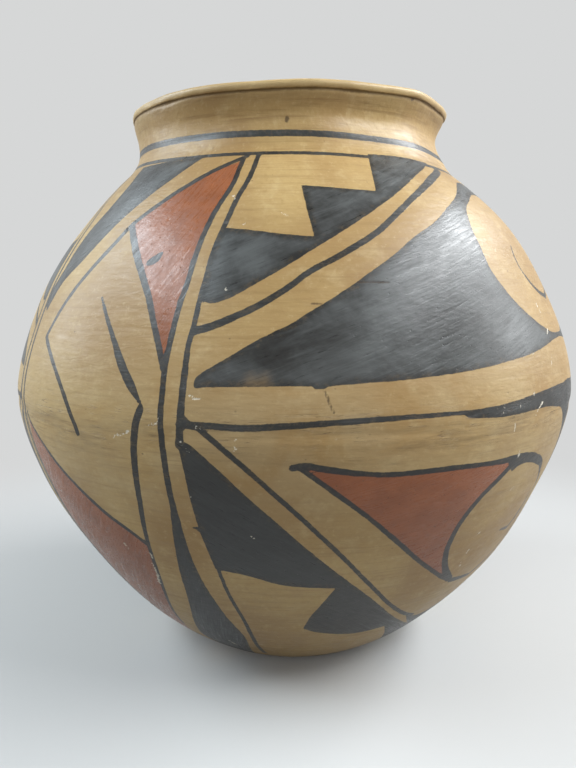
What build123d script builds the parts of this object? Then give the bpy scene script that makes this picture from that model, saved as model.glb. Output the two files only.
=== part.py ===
from build123d import *
import os
from math import cos, radians, sin, sqrt

# A coil-built pueblo storage jar: a dish of clay pressed in a shallow mould, coils of clay
# built up on it one above another, and a rolled coil for the lip. Z is up, the jar stands
# on Z = 0 and is round about the Z axis. Lengths are millimetres and angles are degrees.

# Outline of the jar, outside
jar_height = 361.0
base_radius = 69.0
belly_radius = 190.0
belly_height = 182.0
neck_radius = 103.5

# How the outline bends
base_rise = 29.0
base_pull = 94.5
keel_pull_below = 27.0
keel_pull_above = 19.0
shoulder_lean = 49.0
shoulder_pull = 85.5
neck_bend_radius = 33.5
rim_flare = 19.0

# Thickness of the clay
wall_thickness = 7.0
floor_thickness = 9.0
floor_flat_radius = 48.0
floor_sweep_pull = 26.0

# Lip
lip_height = 5.0
lip_overhang = 2.0

# Coils: how the wall is divided, measured up the outside of the wall
dish_wall_length = 74.0
bowl_coil_count = 4
shoulder_coil_count = 5
scarf_lap = 5.0


def direction(angle_from_ground):
    """Unit vector in the section plane at an angle above the ground, leading outwards."""
    return Vector(cos(radians(angle_from_ground)), sin(radians(angle_from_ground)))


# Places that follow from the sizes
base_edge = Vector(base_radius, 0)
belly = Vector(belly_radius, belly_height)
lip_foot_height = jar_height - lip_height
neck_height = lip_foot_height - neck_bend_radius * sin(radians(rim_flare))
neck_centre = Vector(neck_radius + neck_bend_radius, neck_height)
shoulder = neck_centre - direction(shoulder_lean) * neck_bend_radius
up = Vector(0, 1)
outwards = Vector(1, 0)
base_direction = direction(base_rise)
shoulder_direction = Vector(-sin(radians(shoulder_lean)), cos(radians(shoulder_lean)))


def wall_curve(inset):
    """Section curve of the wall from foot to lip, moved into the jar by an inset.

    The curve has three stretches: the bowl below the belly, the shoulder above it and
    the hollow bend of the neck. They run smoothly into one another.
    """
    foot = base_edge + Vector(-base_direction.Y, base_direction.X) * inset
    keel = belly - outwards * inset
    bend_radius = neck_bend_radius + inset
    bend_start = neck_centre - direction(shoulder_lean) * bend_radius
    bowl_share = (keel - foot).length / (belly - base_edge).length
    shoulder_share = (bend_start - keel).length / (shoulder - belly).length
    bowl = Bezier(
        foot,
        foot + base_direction * base_pull * bowl_share,
        keel - up * keel_pull_below * bowl_share,
        keel,
    )
    upper = Bezier(
        keel,
        keel + up * keel_pull_above * shoulder_share,
        bend_start - shoulder_direction * shoulder_pull * shoulder_share,
        bend_start,
    )
    bend = CenterArc(neck_centre, bend_radius, 180 + shoulder_lean, -(shoulder_lean + rim_flare))
    return bowl, upper, bend


def joined(curves):
    """One wire from curves that meet end to end."""
    return Wire([curve.edge() for curve in curves])


outer_curves = wall_curve(0)
inner_curves = wall_curve(wall_thickness)
outer_wall = joined(outer_curves)
inner_wall = joined(inner_curves)
bowl_length, shoulder_length, bend_length = [curve.length for curve in outer_curves]


def seam_lengths():
    """Distances up the outside of the wall at which one coil ends and the next begins."""
    bowl_step = (bowl_length - dish_wall_length) / bowl_coil_count
    shoulder_step = shoulder_length / shoulder_coil_count
    below_belly = [dish_wall_length + bowl_step * i for i in range(bowl_coil_count)]
    above_belly = [bowl_length + shoulder_step * i for i in range(shoulder_coil_count + 1)]
    return below_belly + above_belly + [outer_wall.length]


def inside_length(outside_length):
    """Distance up the inside of the wall to the place opposite one on the outside."""
    before = 0
    remaining = outside_length
    for outer, inner in zip(outer_curves[:-1], inner_curves[:-1]):
        if remaining <= outer.length:
            return before + inner.length * remaining / outer.length
        before += inner.length
        remaining -= outer.length
    return before + inner_curves[-1].length * remaining / bend_length


def seam(outside_length):
    """Where a seam meets the outside and the inside of the wall, as shares of each length.

    A fresh coil is pressed down over the inside of the one below, so each seam slants
    down into the jar by the scarf lap.
    """
    return (
        outside_length / outer_wall.length,
        (inside_length(outside_length) - scarf_lap) / inner_wall.length,
    )


def turned(*edges):
    """Solid of revolution about the jar's axis from the edges of its section."""
    section = Plane.XZ * make_face(edges)
    return revolve(section, Axis.Z, 360)


def coil(start, end):
    """One course of the wall between two seams."""
    outside = outer_wall.trim(start[0], end[0])
    inside = inner_wall.trim(start[1], end[1])
    return turned(
        *outside.edges(),
        *inside.edges(),
        Line(outside @ 0, inside @ 0).edge(),
        Line(outside @ 1, inside @ 1).edge(),
    )


def base_dish(end):
    """The foot: a flat round floor that sweeps up into the first of the wall."""
    outside = outer_wall.trim(0, end[0])
    rim_inside = inner_wall @ end[1]
    rim_direction = inner_wall % end[1]
    floor_centre = Vector(0, floor_thickness)
    floor_edge = Vector(floor_flat_radius, floor_thickness)
    floor_sweep = Bezier(
        rim_inside,
        rim_inside - rim_direction * floor_sweep_pull,
        floor_edge + outwards * floor_sweep_pull,
        floor_edge,
    )
    return turned(
        Line((0, 0), base_edge).edge(),
        *outside.edges(),
        Line(outside @ 1, rim_inside).edge(),
        floor_sweep.edge(),
        Line(floor_edge, floor_centre).edge(),
        Line(floor_centre, (0, 0)).edge(),
    )


def lip_coil(start):
    """The lip: a coil rolled outwards, so that it hangs a little over the neck.

    The bead's radius is the one at which a circle that is level at the crown both
    stands out by the overhang and passes through the outside of the seam.
    """
    foot_outside = outer_wall @ start[0]
    foot_inside = inner_wall @ start[1]
    bead_radius = lip_overhang + lip_height - sqrt(2 * lip_overhang * lip_height)
    crown = Vector(foot_outside.X + lip_overhang - bead_radius, jar_height)
    bead = TangentArc(crown, foot_outside, tangent=outwards)
    roll_in = TangentArc(crown, foot_inside, tangent=-outwards)
    return turned(bead.edge(), roll_in.edge(), Line(foot_outside, foot_inside).edge())


seams = [seam(length) for length in seam_lengths()]
pieces = {"base_dish": base_dish(seams[0])}
courses = list(zip(seams, seams[1:]))
for i in range(bowl_coil_count):
    pieces[f"bowl_coil_{i + 1}"] = coil(*courses[i])
for i in range(shoulder_coil_count):
    pieces[f"shoulder_coil_{i + 1}"] = coil(*courses[bowl_coil_count + i])
pieces["neck_coil"] = coil(*courses[-1])
pieces["lip_coil"] = lip_coil(seams[-1])

os.makedirs("parts", exist_ok=True)
for name, solid in pieces.items():
    solid.label = name
    export_step(solid, f"parts/{name}.step")
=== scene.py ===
import logging
import math
from collections.abc import Callable, Iterator
from dataclasses import dataclass, field
from enum import Enum
from typing import NamedTuple

import bpy
import numpy as np
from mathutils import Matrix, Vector


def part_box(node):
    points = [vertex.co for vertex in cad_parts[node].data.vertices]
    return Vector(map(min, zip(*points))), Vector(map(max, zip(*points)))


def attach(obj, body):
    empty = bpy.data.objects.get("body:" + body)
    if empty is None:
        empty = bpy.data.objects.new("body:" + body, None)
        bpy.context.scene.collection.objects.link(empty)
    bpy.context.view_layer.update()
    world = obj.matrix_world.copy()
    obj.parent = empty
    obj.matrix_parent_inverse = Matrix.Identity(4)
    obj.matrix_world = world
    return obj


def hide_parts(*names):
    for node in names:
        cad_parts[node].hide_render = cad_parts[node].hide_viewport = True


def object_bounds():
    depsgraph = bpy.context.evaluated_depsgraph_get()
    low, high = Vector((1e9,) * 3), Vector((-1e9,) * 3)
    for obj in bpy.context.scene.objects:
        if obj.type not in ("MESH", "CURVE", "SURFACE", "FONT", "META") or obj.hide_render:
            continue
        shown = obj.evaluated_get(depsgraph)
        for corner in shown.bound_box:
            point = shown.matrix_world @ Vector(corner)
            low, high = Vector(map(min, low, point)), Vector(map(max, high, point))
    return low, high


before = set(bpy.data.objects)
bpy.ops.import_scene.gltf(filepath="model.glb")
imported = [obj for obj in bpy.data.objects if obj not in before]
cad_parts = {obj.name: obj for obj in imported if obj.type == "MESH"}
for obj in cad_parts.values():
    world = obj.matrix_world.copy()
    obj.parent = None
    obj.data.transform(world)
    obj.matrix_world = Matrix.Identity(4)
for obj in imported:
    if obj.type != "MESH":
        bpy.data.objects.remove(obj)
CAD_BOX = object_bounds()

log = logging.getLogger("pueblo_jar")

MM = 0.001
BODY = "root"
PHOTO_WIDTH = 576
PHOTO_HEIGHT = 768
FULL_TURN = 2.0 * math.pi
TINY = 1e-9

# Distances to painted edges are kept up to this many millimetres and are flat beyond it
REACH = 8.0
# One radius for all the patterns that run round the jar, so that they close behind it
PATTERN_RADIUS = 150.0
# Length up one face of the wall for places that lie on the other
NOWHERE = -1.0

Array = np.ndarray
Tone = tuple[float, float, float, float]
# Where a share starts to rise and where it is full; it falls if the second is lower
Ramp = tuple[float, float]


class Zone(Enum):
    """Which side of the clay a face of a ring lies on."""

    OUTSIDE = 0
    SEAM = 1
    INSIDE = 2
    UNDERSIDE = 3


class Paint(Enum):
    """What is laid on the slip; the value is the name of the distance kept at each vertex."""

    BLACK = "black"
    RED = "red"
    CHIP = "chip"
    WORN = "worn"
    CRACK = "crack"


class Repeat(Enum):
    """How a painted shape comes back round the jar."""

    ONCE = "once"
    NARROW = "narrow panel"
    WIDE = "wide panel"


class Spot(NamedTuple):
    """A place on the outside by its turn from the front in degrees and its height in mm."""

    turn: float
    height: float


class Pixel(NamedTuple):
    """A place on the outside by where it shows in the photograph."""

    x: float
    y: float


def px(*numbers: float) -> tuple[Pixel, ...]:
    """Pixels from x and y values that follow one another."""
    return tuple(Pixel(x, y) for x, y in zip(numbers[::2], numbers[1::2]))


def spots(*numbers: float) -> tuple[Spot, ...]:
    """Spots from turns and heights that follow one another."""
    return tuple(Spot(turn, height) for turn, height in zip(numbers[::2], numbers[1::2]))


def smoothstep(low: float, high: float, value: Array) -> Array:
    """Share from 0 to 1 that rises smoothly between two values."""
    t = np.clip((value - low) / (high - low), 0.0, 1.0)
    return t * t * (3.0 - 2.0 * t)


def colour(red: int, green: int, blue: int) -> Tone:
    """A colour as nodes take it, from the 0 to 255 values that a screen shows."""
    parts = (part / 255.0 for part in (red, green, blue))
    return (*(p / 12.92 if p <= 0.04045 else ((p + 0.055) / 1.055) ** 2.4 for p in parts), 1.0)


def math_method(operation: str, swapped: bool = False) -> Callable[..., "Value"]:
    """A method of Value that adds one Math node.

    Args:
        operation: The node's operation.
        swapped: Whether the value comes after the other term.

    Returns:
        The method.
    """
    def method(self: "Value", *others: "Value | float") -> "Value":
        """Adds the node to the value's tree."""
        terms = (*others, self) if swapped else (self, *others)
        return self.net.value("ShaderNodeMath", 0, {"operation": operation}, dict(enumerate(terms)))

    return method


class Value:
    """A socket of a node tree that Python's operators work on, by adding Math nodes."""

    def __init__(self, net: "Net", socket: bpy.types.NodeSocket) -> None:
        """Keeps the tree and the socket."""
        self.net = net
        self.socket = socket

    __add__ = math_method("ADD")
    __radd__ = math_method("ADD", swapped=True)
    __sub__ = math_method("SUBTRACT")
    __rsub__ = math_method("SUBTRACT", swapped=True)
    __mul__ = math_method("MULTIPLY")
    __rmul__ = math_method("MULTIPLY", swapped=True)
    __truediv__ = math_method("DIVIDE")
    __rtruediv__ = math_method("DIVIDE", swapped=True)
    __mod__ = math_method("FLOORED_MODULO")
    __lt__ = math_method("LESS_THAN")
    __gt__ = math_method("GREATER_THAN")
    __abs__ = math_method("ABSOLUTE")
    floor = math_method("FLOOR")
    sine = math_method("SINE")
    cosine = math_method("COSINE")
    larger = math_method("MAXIMUM")

    def swing(self, size: float) -> "Value":
        """A noise from 0 to 1 as a swing about zero of a whole size."""
        return (self - 0.5) * size

    def rise(self, low: float, high: float) -> "Value":
        """Share that rises smoothly from 0 at one value to 1 at another.

        Args:
            low: Where the rise starts.
            high: Where it ends; below low, the share falls instead.

        Returns:
            The share.
        """
        flip = high < low
        ends = (high, low) if flip else (low, high)
        share = self.net.value(
            "ShaderNodeMapRange",
            "Result",
            {"interpolation_type": "SMOOTHSTEP"},
            {"Value": self, "From Min": ends[0], "From Max": ends[1]},
        )
        return 1.0 - share if flip else share


class Cloud(NamedTuple):
    """A cloudy noise by its clouds to a unit of length, on all axes or each, and finer layers."""

    scale: float | tuple[float, float, float]
    detail: float
    roughness: float
    stir: float = 0.0


class Net:
    """A node tree and the one way in which nodes are added to it."""

    def __init__(self, tree: bpy.types.NodeTree) -> None:
        """Keeps the tree."""
        self.tree = tree

    def node(self, kind: str, settings: dict | None = None,
             inputs: dict | None = None) -> bpy.types.Node:
        """Adds a node.

        Args:
            kind: The node's type.
            settings: Its properties, set first.
            inputs: Numbers, colours, objects or links for its sockets, by name or place.

        Returns:
            The node.
        """
        made = self.tree.nodes.new(kind)
        for name, setting in (settings or {}).items():
            setattr(made, name, setting)
        for name, given in (inputs or {}).items():
            if isinstance(given, Value):
                given = given.socket
            if isinstance(given, bpy.types.NodeSocket):
                self.tree.links.new(given, made.inputs[name])
            else:
                made.inputs[name].default_value = given
        return made

    def value(self, kind: str, output: str | int, settings: dict | None = None,
              inputs: dict | None = None) -> Value:
        """Adds a node and wraps one of its outputs, given by name or place."""
        return Value(self, self.node(kind, settings, inputs).outputs[output])

    def attribute(self, name: str, output: str = "Fac") -> Value:
        """A named value that the mesh carries."""
        return self.value("ShaderNodeAttribute", output, {"attribute_name": name})

    def distance(self, place: Value) -> Value:
        """How far a place is from the origin."""
        return self.value("ShaderNodeVectorMath", "Value", {"operation": "LENGTH"}, {0: place})

    def noise(self, place: Value, cloud: Cloud) -> Value:
        """Cloudy noise from 0 to 1.

        Args:
            place: Where it is read.
            cloud: What it is like.

        Returns:
            The noise.
        """
        scale = cloud.scale
        if isinstance(scale, tuple):
            settings = {"operation": "MULTIPLY"}
            place = self.value("ShaderNodeVectorMath", "Vector", settings, {0: place, 1: scale})
            scale = 1.0
        inputs = {"Vector": place, "Scale": scale, "Detail": cloud.detail,
                  "Roughness": cloud.roughness, "Distortion": cloud.stir}
        return self.value("ShaderNodeTexNoise", "Fac", None, inputs)

    def cells(self, place: Value, scale: float) -> Value:
        """Distance to the nearest of many scattered points."""
        inputs = {"Vector": place, "Scale": scale}
        return self.value("ShaderNodeTexVoronoi", "Distance", None, inputs)

    def layered(self, skin: Value | Tone, *layers: tuple[Value, Value | Tone]) -> Value:
        """Colours laid over one another.

        Args:
            skin: The colour at the bottom.
            layers: How much of each colour above it shows, and the colour.

        Returns:
            The colour that is seen.
        """
        settings = {"data_type": "RGBA", "blend_type": "MIX"}
        for share, tone in layers:
            skin = self.value("ShaderNodeMix", 2, settings, {0: share, 6: skin, 7: tone})
        return skin


@dataclass
class Profile:
    """A section line with its length, read by how far up it a place is."""

    points: Array
    lengths: Array = field(init=False)

    def __post_init__(self) -> None:
        """Adds up the length along the line."""
        steps = np.hypot(*np.diff(self.points, axis=0).T)
        self.lengths = np.concatenate([[0.0], np.cumsum(steps)])

    def at(self, length: Array | float) -> Array:
        """Radius and height at a length along the line."""
        return np.array([np.interp(length, self.lengths, column) for column in self.points.T])

    def length_at_height(self, height: Array) -> Array:
        """Length along the line at a height, for a line that only climbs."""
        return np.interp(height, self.points[:, 1], self.lengths)

    @property
    def total(self) -> float:
        """The whole length."""
        return float(self.lengths[-1])


@dataclass(frozen=True)
class WallSection:
    """The jar's section in millimetres and degrees, with the same sizes as the CAD source."""

    jar_height: float
    belly_radius: float
    base_radius: float = 69.0
    belly_height: float = 182.0
    neck_radius: float = 103.5
    base_rise: float = 29.0
    base_pull: float = 94.5
    keel_pull_below: float = 27.0
    keel_pull_above: float = 19.0
    shoulder_lean: float = 49.0
    shoulder_pull: float = 85.5
    neck_bend_radius: float = 33.5
    rim_flare: float = 19.0
    wall_thickness: float = 7.0
    floor_thickness: float = 9.0
    floor_flat_radius: float = 48.0
    floor_sweep_pull: float = 26.0
    lip_height: float = 5.0
    lip_overhang: float = 2.0
    scarf_lap: float = 5.0
    samples: int = 400
    floor_samples: int = 40
    heading_step: float = 0.5

    def _bezier(self, a: Array, b: Array, c: Array, d: Array) -> Array:
        """Points along a cubic curve from its four handles."""
        t = np.linspace(0.0, 1.0, self.samples)[:, None]
        return (1 - t) ** 3 * a + 3 * (1 - t) ** 2 * t * b + 3 * (1 - t) * t ** 2 * c + t ** 3 * d

    def _arc(self, centre: Array, radius: float, start: float, end: float) -> Array:
        """Points along an arc between two angles in degrees."""
        angle = np.radians(np.linspace(start, end, self.samples))
        return centre + radius * np.stack([np.cos(angle), np.sin(angle)], 1)

    @staticmethod
    def _direction(angle: float) -> Array:
        """Unit vector at an angle above the ground."""
        return np.array([math.cos(math.radians(angle)), math.sin(math.radians(angle))])

    def wall(self, inset: float) -> tuple[Profile, tuple[float, float]]:
        """The wall's line from foot to lip, moved into the jar.

        Args:
            inset: How far the line lies inside the outer face.

        Returns:
            The line, and the lengths at which its bowl and its shoulder end.
        """
        up = np.array([0.0, 1.0])
        rise = self._direction(self.base_rise)
        lean = self._direction(self.shoulder_lean)
        climb = np.array([-lean[1], lean[0]])
        foot_height = self.jar_height - self.lip_height
        neck_height = foot_height - self.neck_bend_radius * math.sin(math.radians(self.rim_flare))
        neck = np.array([self.neck_radius + self.neck_bend_radius, neck_height])
        base_edge = np.array([self.base_radius, 0.0])
        belly = np.array([self.belly_radius, self.belly_height])
        shoulder = neck - lean * self.neck_bend_radius
        foot = base_edge + np.array([-rise[1], rise[0]]) * inset
        keel = belly - np.array([inset, 0.0])
        bend_radius = self.neck_bend_radius + inset
        bend_start = neck - lean * bend_radius
        bowl_share = np.linalg.norm(keel - foot) / np.linalg.norm(belly - base_edge)
        upper_share = np.linalg.norm(bend_start - keel) / np.linalg.norm(shoulder - belly)
        bowl = self._bezier(
            foot,
            foot + rise * self.base_pull * bowl_share,
            keel - up * self.keel_pull_below * bowl_share,
            keel,
        )
        upper = self._bezier(
            keel,
            keel + up * self.keel_pull_above * upper_share,
            bend_start - climb * self.shoulder_pull * upper_share,
            bend_start,
        )
        bend = self._arc(neck, bend_radius, 180.0 + self.shoulder_lean, 180.0 - self.rim_flare)
        line = Profile(np.concatenate([bowl, upper[1:], bend[1:]]))
        bowl_end = Profile(bowl).total
        return line, (bowl_end, bowl_end + Profile(upper).total)

    def floor(self, inner: Profile, rim_length: float) -> Profile:
        """The dish's inner line, from the middle of the floor up to its seam.

        Args:
            inner: The inner wall's line.
            rim_length: Length up it at which the dish ends.

        Returns:
            The line.
        """
        rim = inner.at(rim_length)
        ahead = inner.at(rim_length + self.heading_step)
        heading = (ahead - rim) / np.linalg.norm(ahead - rim)
        edge = np.array([self.floor_flat_radius, self.floor_thickness])
        outwards = np.array([self.floor_sweep_pull, 0.0])
        sweep = self._bezier(edge, edge + outwards, rim - heading * self.floor_sweep_pull, rim)
        flat = np.linspace((0.0, edge[1]), edge, self.floor_samples)
        return Profile(np.concatenate([flat, sweep[1:]]))

    def lip(self, foot_outside: Array, foot_inside: Array) -> tuple[Array, Array]:
        """The rolled lip's two arcs, which meet level at its crown.

        Args:
            foot_outside: Where the outer wall ends.
            foot_inside: Where the seam meets the inner wall.

        Returns:
            Points from the outer foot and from the inner foot up to the crown.
        """
        overhang, height = self.lip_overhang, self.lip_height
        bead = overhang + height - math.sqrt(2.0 * overhang * height)
        crown = np.array([foot_outside[0] + overhang - bead, self.jar_height])
        arcs = []
        for foot in (foot_outside, foot_inside):
            across, drop = foot - crown
            radius = (across * across + drop * drop) / (2.0 * -drop)
            centre = crown - np.array([0.0, radius])
            start = math.degrees(math.atan2(foot[1] - centre[1], foot[0] - centre[0]))
            if across < 0.0 and start < 0.0:
                start += 360.0
            arcs.append(self._arc(centre, radius, start, 90.0))
        return arcs[0], arcs[1]


def eased(knots: tuple[float, ...], values: tuple[float, ...], height: Array) -> Array:
    """A line that eases from each knot's value to the next.

    Args:
        knots: Heights of the knots.
        values: The value at each knot.
        height: Where the line is read.

    Returns:
        The values there.
    """
    total = np.full_like(height, values[0], dtype=float)
    for low, high, before, after in zip(knots, knots[1:], values, values[1:]):
        total += (after - before) * smoothstep(low, high, height)
    return total


class Wave(NamedTuple):
    """A wave round the jar by how often it comes, where it starts and how large it is."""

    count: int
    phase: float
    size: float

    def at(self, turn: Array) -> Array:
        """The wave at a turn in radians."""
        return self.size * np.sin(self.count * turn + self.phase)


def waved(waves: tuple[Wave, ...], turn: Array) -> Array:
    """Several waves together at a turn in radians."""
    return sum(wave.at(turn) for wave in waves)


@dataclass(frozen=True)
class Furrow:
    """A shallow groove round the wall that wanders up and down and fades, in millimetres."""

    height: float
    depth: float
    width: float
    wander: tuple[Wave, ...]
    fade: Wave

    def at(self, turn: Array, height: Array) -> Array:
        """How deep the groove is at a turn in radians and a height."""
        away = (height - self.height - waved(self.wander, turn)) / self.width
        return self.depth * (1.0 - self.fade.size + self.fade.at(turn)) * np.exp(-away * away)


@dataclass(frozen=True)
class HandShape:
    """How far the hand-built jar strays from a true round, in millimetres."""

    sway_heights: tuple[float, ...] = (0.0, 75.0, 130.0, 182.0, 240.0, 285.0, 330.0, 346.0, 361.0)
    sway_right: tuple[float, ...] = (0.5, 2.0, 0.0, -1.0, 0.3, 1.3, -2.0, -5.0, -2.9)
    girth_heights: tuple[float, ...] = (150.0, 182.0, 235.0, 290.0, 328.0, 343.0, 355.2, 357.6)
    girth_change: tuple[float, ...] = (0.6, -0.2, -1.4, -0.2, -0.2, -1.0, 1.7, 0.7)
    seed: int = 23
    lump_count: int = 18
    lump_size: float = 0.34
    lump_turns: tuple[int, int] = (1, 15)
    lump_slope: float = 0.055
    lump_fall: float = 0.13
    still_foot: Ramp = (2.0, 40.0)
    still_middle: Ramp = (0.0, 30.0)
    rim_heights: Ramp = (333.0, 358.0)
    rim_level: float = 0.5
    rim_rise: float = 4.5
    rim_front_power: int = 3
    rim_tip: float = 1.7
    rim_wave: float = 0.45
    rim_waves: tuple[Wave, ...] = (Wave(2, 0.6, 1.0), Wave(3, 2.2, 0.5), Wave(8, 0.4, 0.12))
    bead_heights: Ramp = (355.6, 357.4)
    bead_lump: float = 0.14
    bead_waves: tuple[Wave, ...] = (Wave(17, 1.3, 1.0), Wave(29, 4.0, 0.7), Wave(43, 0.0, 0.5))
    lip_groove: Furrow = Furrow(
        355.6, 0.5, 0.9, (Wave(11, 0.4, 0.3), Wave(23, 2.0, 0.25)), Wave(7, 0.0, 0.25),
    )
    belly_crease: Furrow = Furrow(
        180.0, 0.55, 3.2, (Wave(3, 0.5, 1.4), Wave(7, 2.0, 0.8)), Wave(5, 1.0, 0.3),
    )
    probe_length: float = 0.6
    probe_turn: float = 0.004

    def _lumps(self) -> tuple[Array, ...]:
        """Draws the lumps of the wall.

        Returns:
            Their turns round the jar, waves up it, phases and sizes.
        """
        draw = np.random.default_rng(self.seed)
        around = draw.integers(*self.lump_turns, self.lump_count)
        upward = draw.uniform(-self.lump_slope, self.lump_slope, self.lump_count)
        phase = draw.uniform(0.0, FULL_TURN, self.lump_count)
        return around, upward, phase, self.lump_size / (1.0 + self.lump_fall * around)

    def sway(self, height: Array) -> Array:
        """How far the axis leans to the right at a height."""
        return eased(self.sway_heights, self.sway_right, height)

    def swell(self, turn: Array, height: Array) -> Array:
        """How far the wall stands out from its true radius.

        Args:
            turn: Angle from the front in radians.
            height: True height in mm.

        Returns:
            The distance in mm.
        """
        total = np.zeros(np.broadcast(turn, height).shape)
        for around, upward, phase, size in zip(*self._lumps()):
            total += size * np.sin(around * turn + upward * height + phase)
        total += eased(self.girth_heights, self.girth_change, height)
        total *= smoothstep(*self.still_foot, height)
        bead = self.bead_lump * waved(self.bead_waves, turn)
        total += bead * smoothstep(*self.bead_heights, height)
        return total - self.lip_groove.at(turn, height) - self.belly_crease.at(turn, height)

    def lift(self, turn: Array, height: Array) -> Array:
        """How far the rim rises from level: low in front, high at the sides and behind.

        Args:
            turn: Angle from the front in radians.
            height: True height in mm.

        Returns:
            The rise in mm.
        """
        front = (0.5 + 0.5 * np.cos(turn)) ** self.rim_front_power
        total = self.rim_level + self.rim_rise * (1.0 - front)
        total += self.rim_tip * np.sin(turn) + self.rim_wave * waved(self.rim_waves, turn)
        return total * smoothstep(*self.rim_heights, height)

    def place(self, turn: Array, radius: Array, height: Array) -> Array:
        """Where a point of the true round ends up.

        Args:
            turn: Angle from the front in radians, to the right.
            radius: True radius in mm.
            height: True height in mm.

        Returns:
            The points in mm, in the frame.
        """
        out = radius + self.swell(turn, height) * smoothstep(*self.still_middle, radius)
        x = self.sway(height) + out * np.sin(turn)
        y = -out * np.cos(turn)
        return np.stack([x, y, height + self.lift(turn, height)], -1)

    def normal(self, turn: Array, line: Profile, length: Array, inwards: bool) -> Array:
        """Direction that the finished surface faces.

        Args:
            turn: Angle from the front in radians.
            line: Section line that the place lies on.
            length: How far along the line.
            inwards: Whether the surface faces into the jar.

        Returns:
            Unit vectors.
        """
        low = line.at(np.clip(length - self.probe_length, 0.0, line.total))
        here = line.at(length)
        high = line.at(np.clip(length + self.probe_length, 0.0, line.total))
        along = self.place(turn, *high) - self.place(turn, *low)
        before, after = turn - self.probe_turn, turn + self.probe_turn
        around = self.place(after, *here) - self.place(before, *here)
        facing = np.cross(around, along)
        facing /= np.maximum(np.linalg.norm(facing, axis=1, keepdims=True), TINY)
        return -facing if inwards else facing


@dataclass(frozen=True)
class PhotoCamera:
    """The camera of the photograph, worked out from the jar's outline in it, in mm and degrees."""

    distance: float = 481.5
    height: float = 248.0
    pitch: float = 8.27
    yaw: float = 0.44
    focal_pixels: float = 650.0
    sensor: float = 36.0
    near: float = 200.0
    far: float = 700.0
    march: float = 0.5
    miss: float = 1000.0

    def build(self) -> None:
        """Makes the camera and gives it to the scene."""
        data = bpy.data.cameras.new("photo_camera")
        data.sensor_fit = "AUTO"
        data.sensor_width = self.sensor
        data.lens = self.focal_pixels * self.sensor / PHOTO_HEIGHT
        camera = bpy.data.objects.new("photo_camera", data)
        camera.location = (0.0, -self.distance * MM, self.height * MM)
        camera.rotation_euler = (math.radians(90.0 - self.pitch), 0.0, math.radians(self.yaw))
        bpy.context.scene.collection.objects.link(camera)
        bpy.context.scene.camera = camera

    def rays(self, pixels: Array) -> Array:
        """Unit directions that pixels look along.

        Args:
            pixels: Places in the photograph.

        Returns:
            The directions in the frame.
        """
        pitch, yaw = math.radians(self.pitch), math.radians(self.yaw)
        level = np.array([-math.sin(yaw), math.cos(yaw), 0.0])
        ahead = level * math.cos(pitch) - np.array([0.0, 0.0, math.sin(pitch)])
        right = np.array([math.cos(yaw), math.sin(yaw), 0.0])
        up = np.cross(right, ahead)
        across = (pixels[:, :1] - PHOTO_WIDTH / 2) / self.focal_pixels
        down = (pixels[:, 1:] - PHOTO_HEIGHT / 2) / self.focal_pixels
        ray = ahead + across * right - down * up
        return ray / np.linalg.norm(ray, axis=1, keepdims=True)

    def land(self, pixels: Array, wall: Profile, shape: HandShape) -> Array:
        """Where pixels fall on the outside of the jar.

        Args:
            pixels: Places in the photograph.
            wall: The outer wall's line.
            shape: How the jar strays from round.

        Returns:
            The turn in radians and the length up the wall of each. A pixel just off the jar
            gets the place that it passes closest to.
        """
        start = np.array([0.0, -self.distance, self.height])
        reach = np.arange(self.near, self.far, self.march)
        points = start + self.rays(pixels)[:, None] * reach[None, :, None]
        height = points[..., 2]
        x = points[..., 0] - shape.sway(height)
        turn = np.arctan2(x, -points[..., 1])
        true_radius = np.interp(height, wall.points[:, 1], wall.points[:, 0])
        gap = np.hypot(x, points[..., 1]) - true_radius - shape.swell(turn, height)
        gap[(height < 0.0) | (height > wall.points[-1, 1])] = self.miss
        inside = gap <= 0.0
        first = np.where(inside.any(1), inside.argmax(1), gap.argmin(1))
        row = np.arange(len(pixels))
        return np.stack([turn[row, first], wall.length_at_height(height[row, first])], 1)


@dataclass(frozen=True)
class BrushLine:
    """A painted line, with its width in mm at places spread evenly along it."""

    name: str
    places: tuple[Spot | Pixel, ...]
    widths: tuple[float, ...]
    paint: Paint = Paint.BLACK


@dataclass(frozen=True)
class PaintedField:
    """A painted area inside a closed outline, with the slant of its brush strokes in degrees."""

    name: str
    outline: tuple[Spot | Pixel, ...]
    stroke_angle: float
    paint: Paint = Paint.BLACK


@dataclass(frozen=True)
class NeckLine:
    """A line all round the neck, by its height in mm at some turns in degrees."""

    name: str
    turns: tuple[float, ...]
    heights: tuple[float, ...]
    width: float


NECK_LINES = (
    NeckLine(
        "upper_neck_line",
        (-120.0, -70.0, -30.0, 0.0, 60.0, 150.0),
        (334.5, 336.4, 334.4, 333.9, 332.5, 333.4),
        4.2,
    ),
    NeckLine(
        "lower_neck_line",
        (-120.0, -66.0, -30.0, 0.0, 54.0, 150.0),
        (323.5, 325.6, 322.2, 321.8, 320.5, 321.8),
        3.0,
    ),
)

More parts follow.
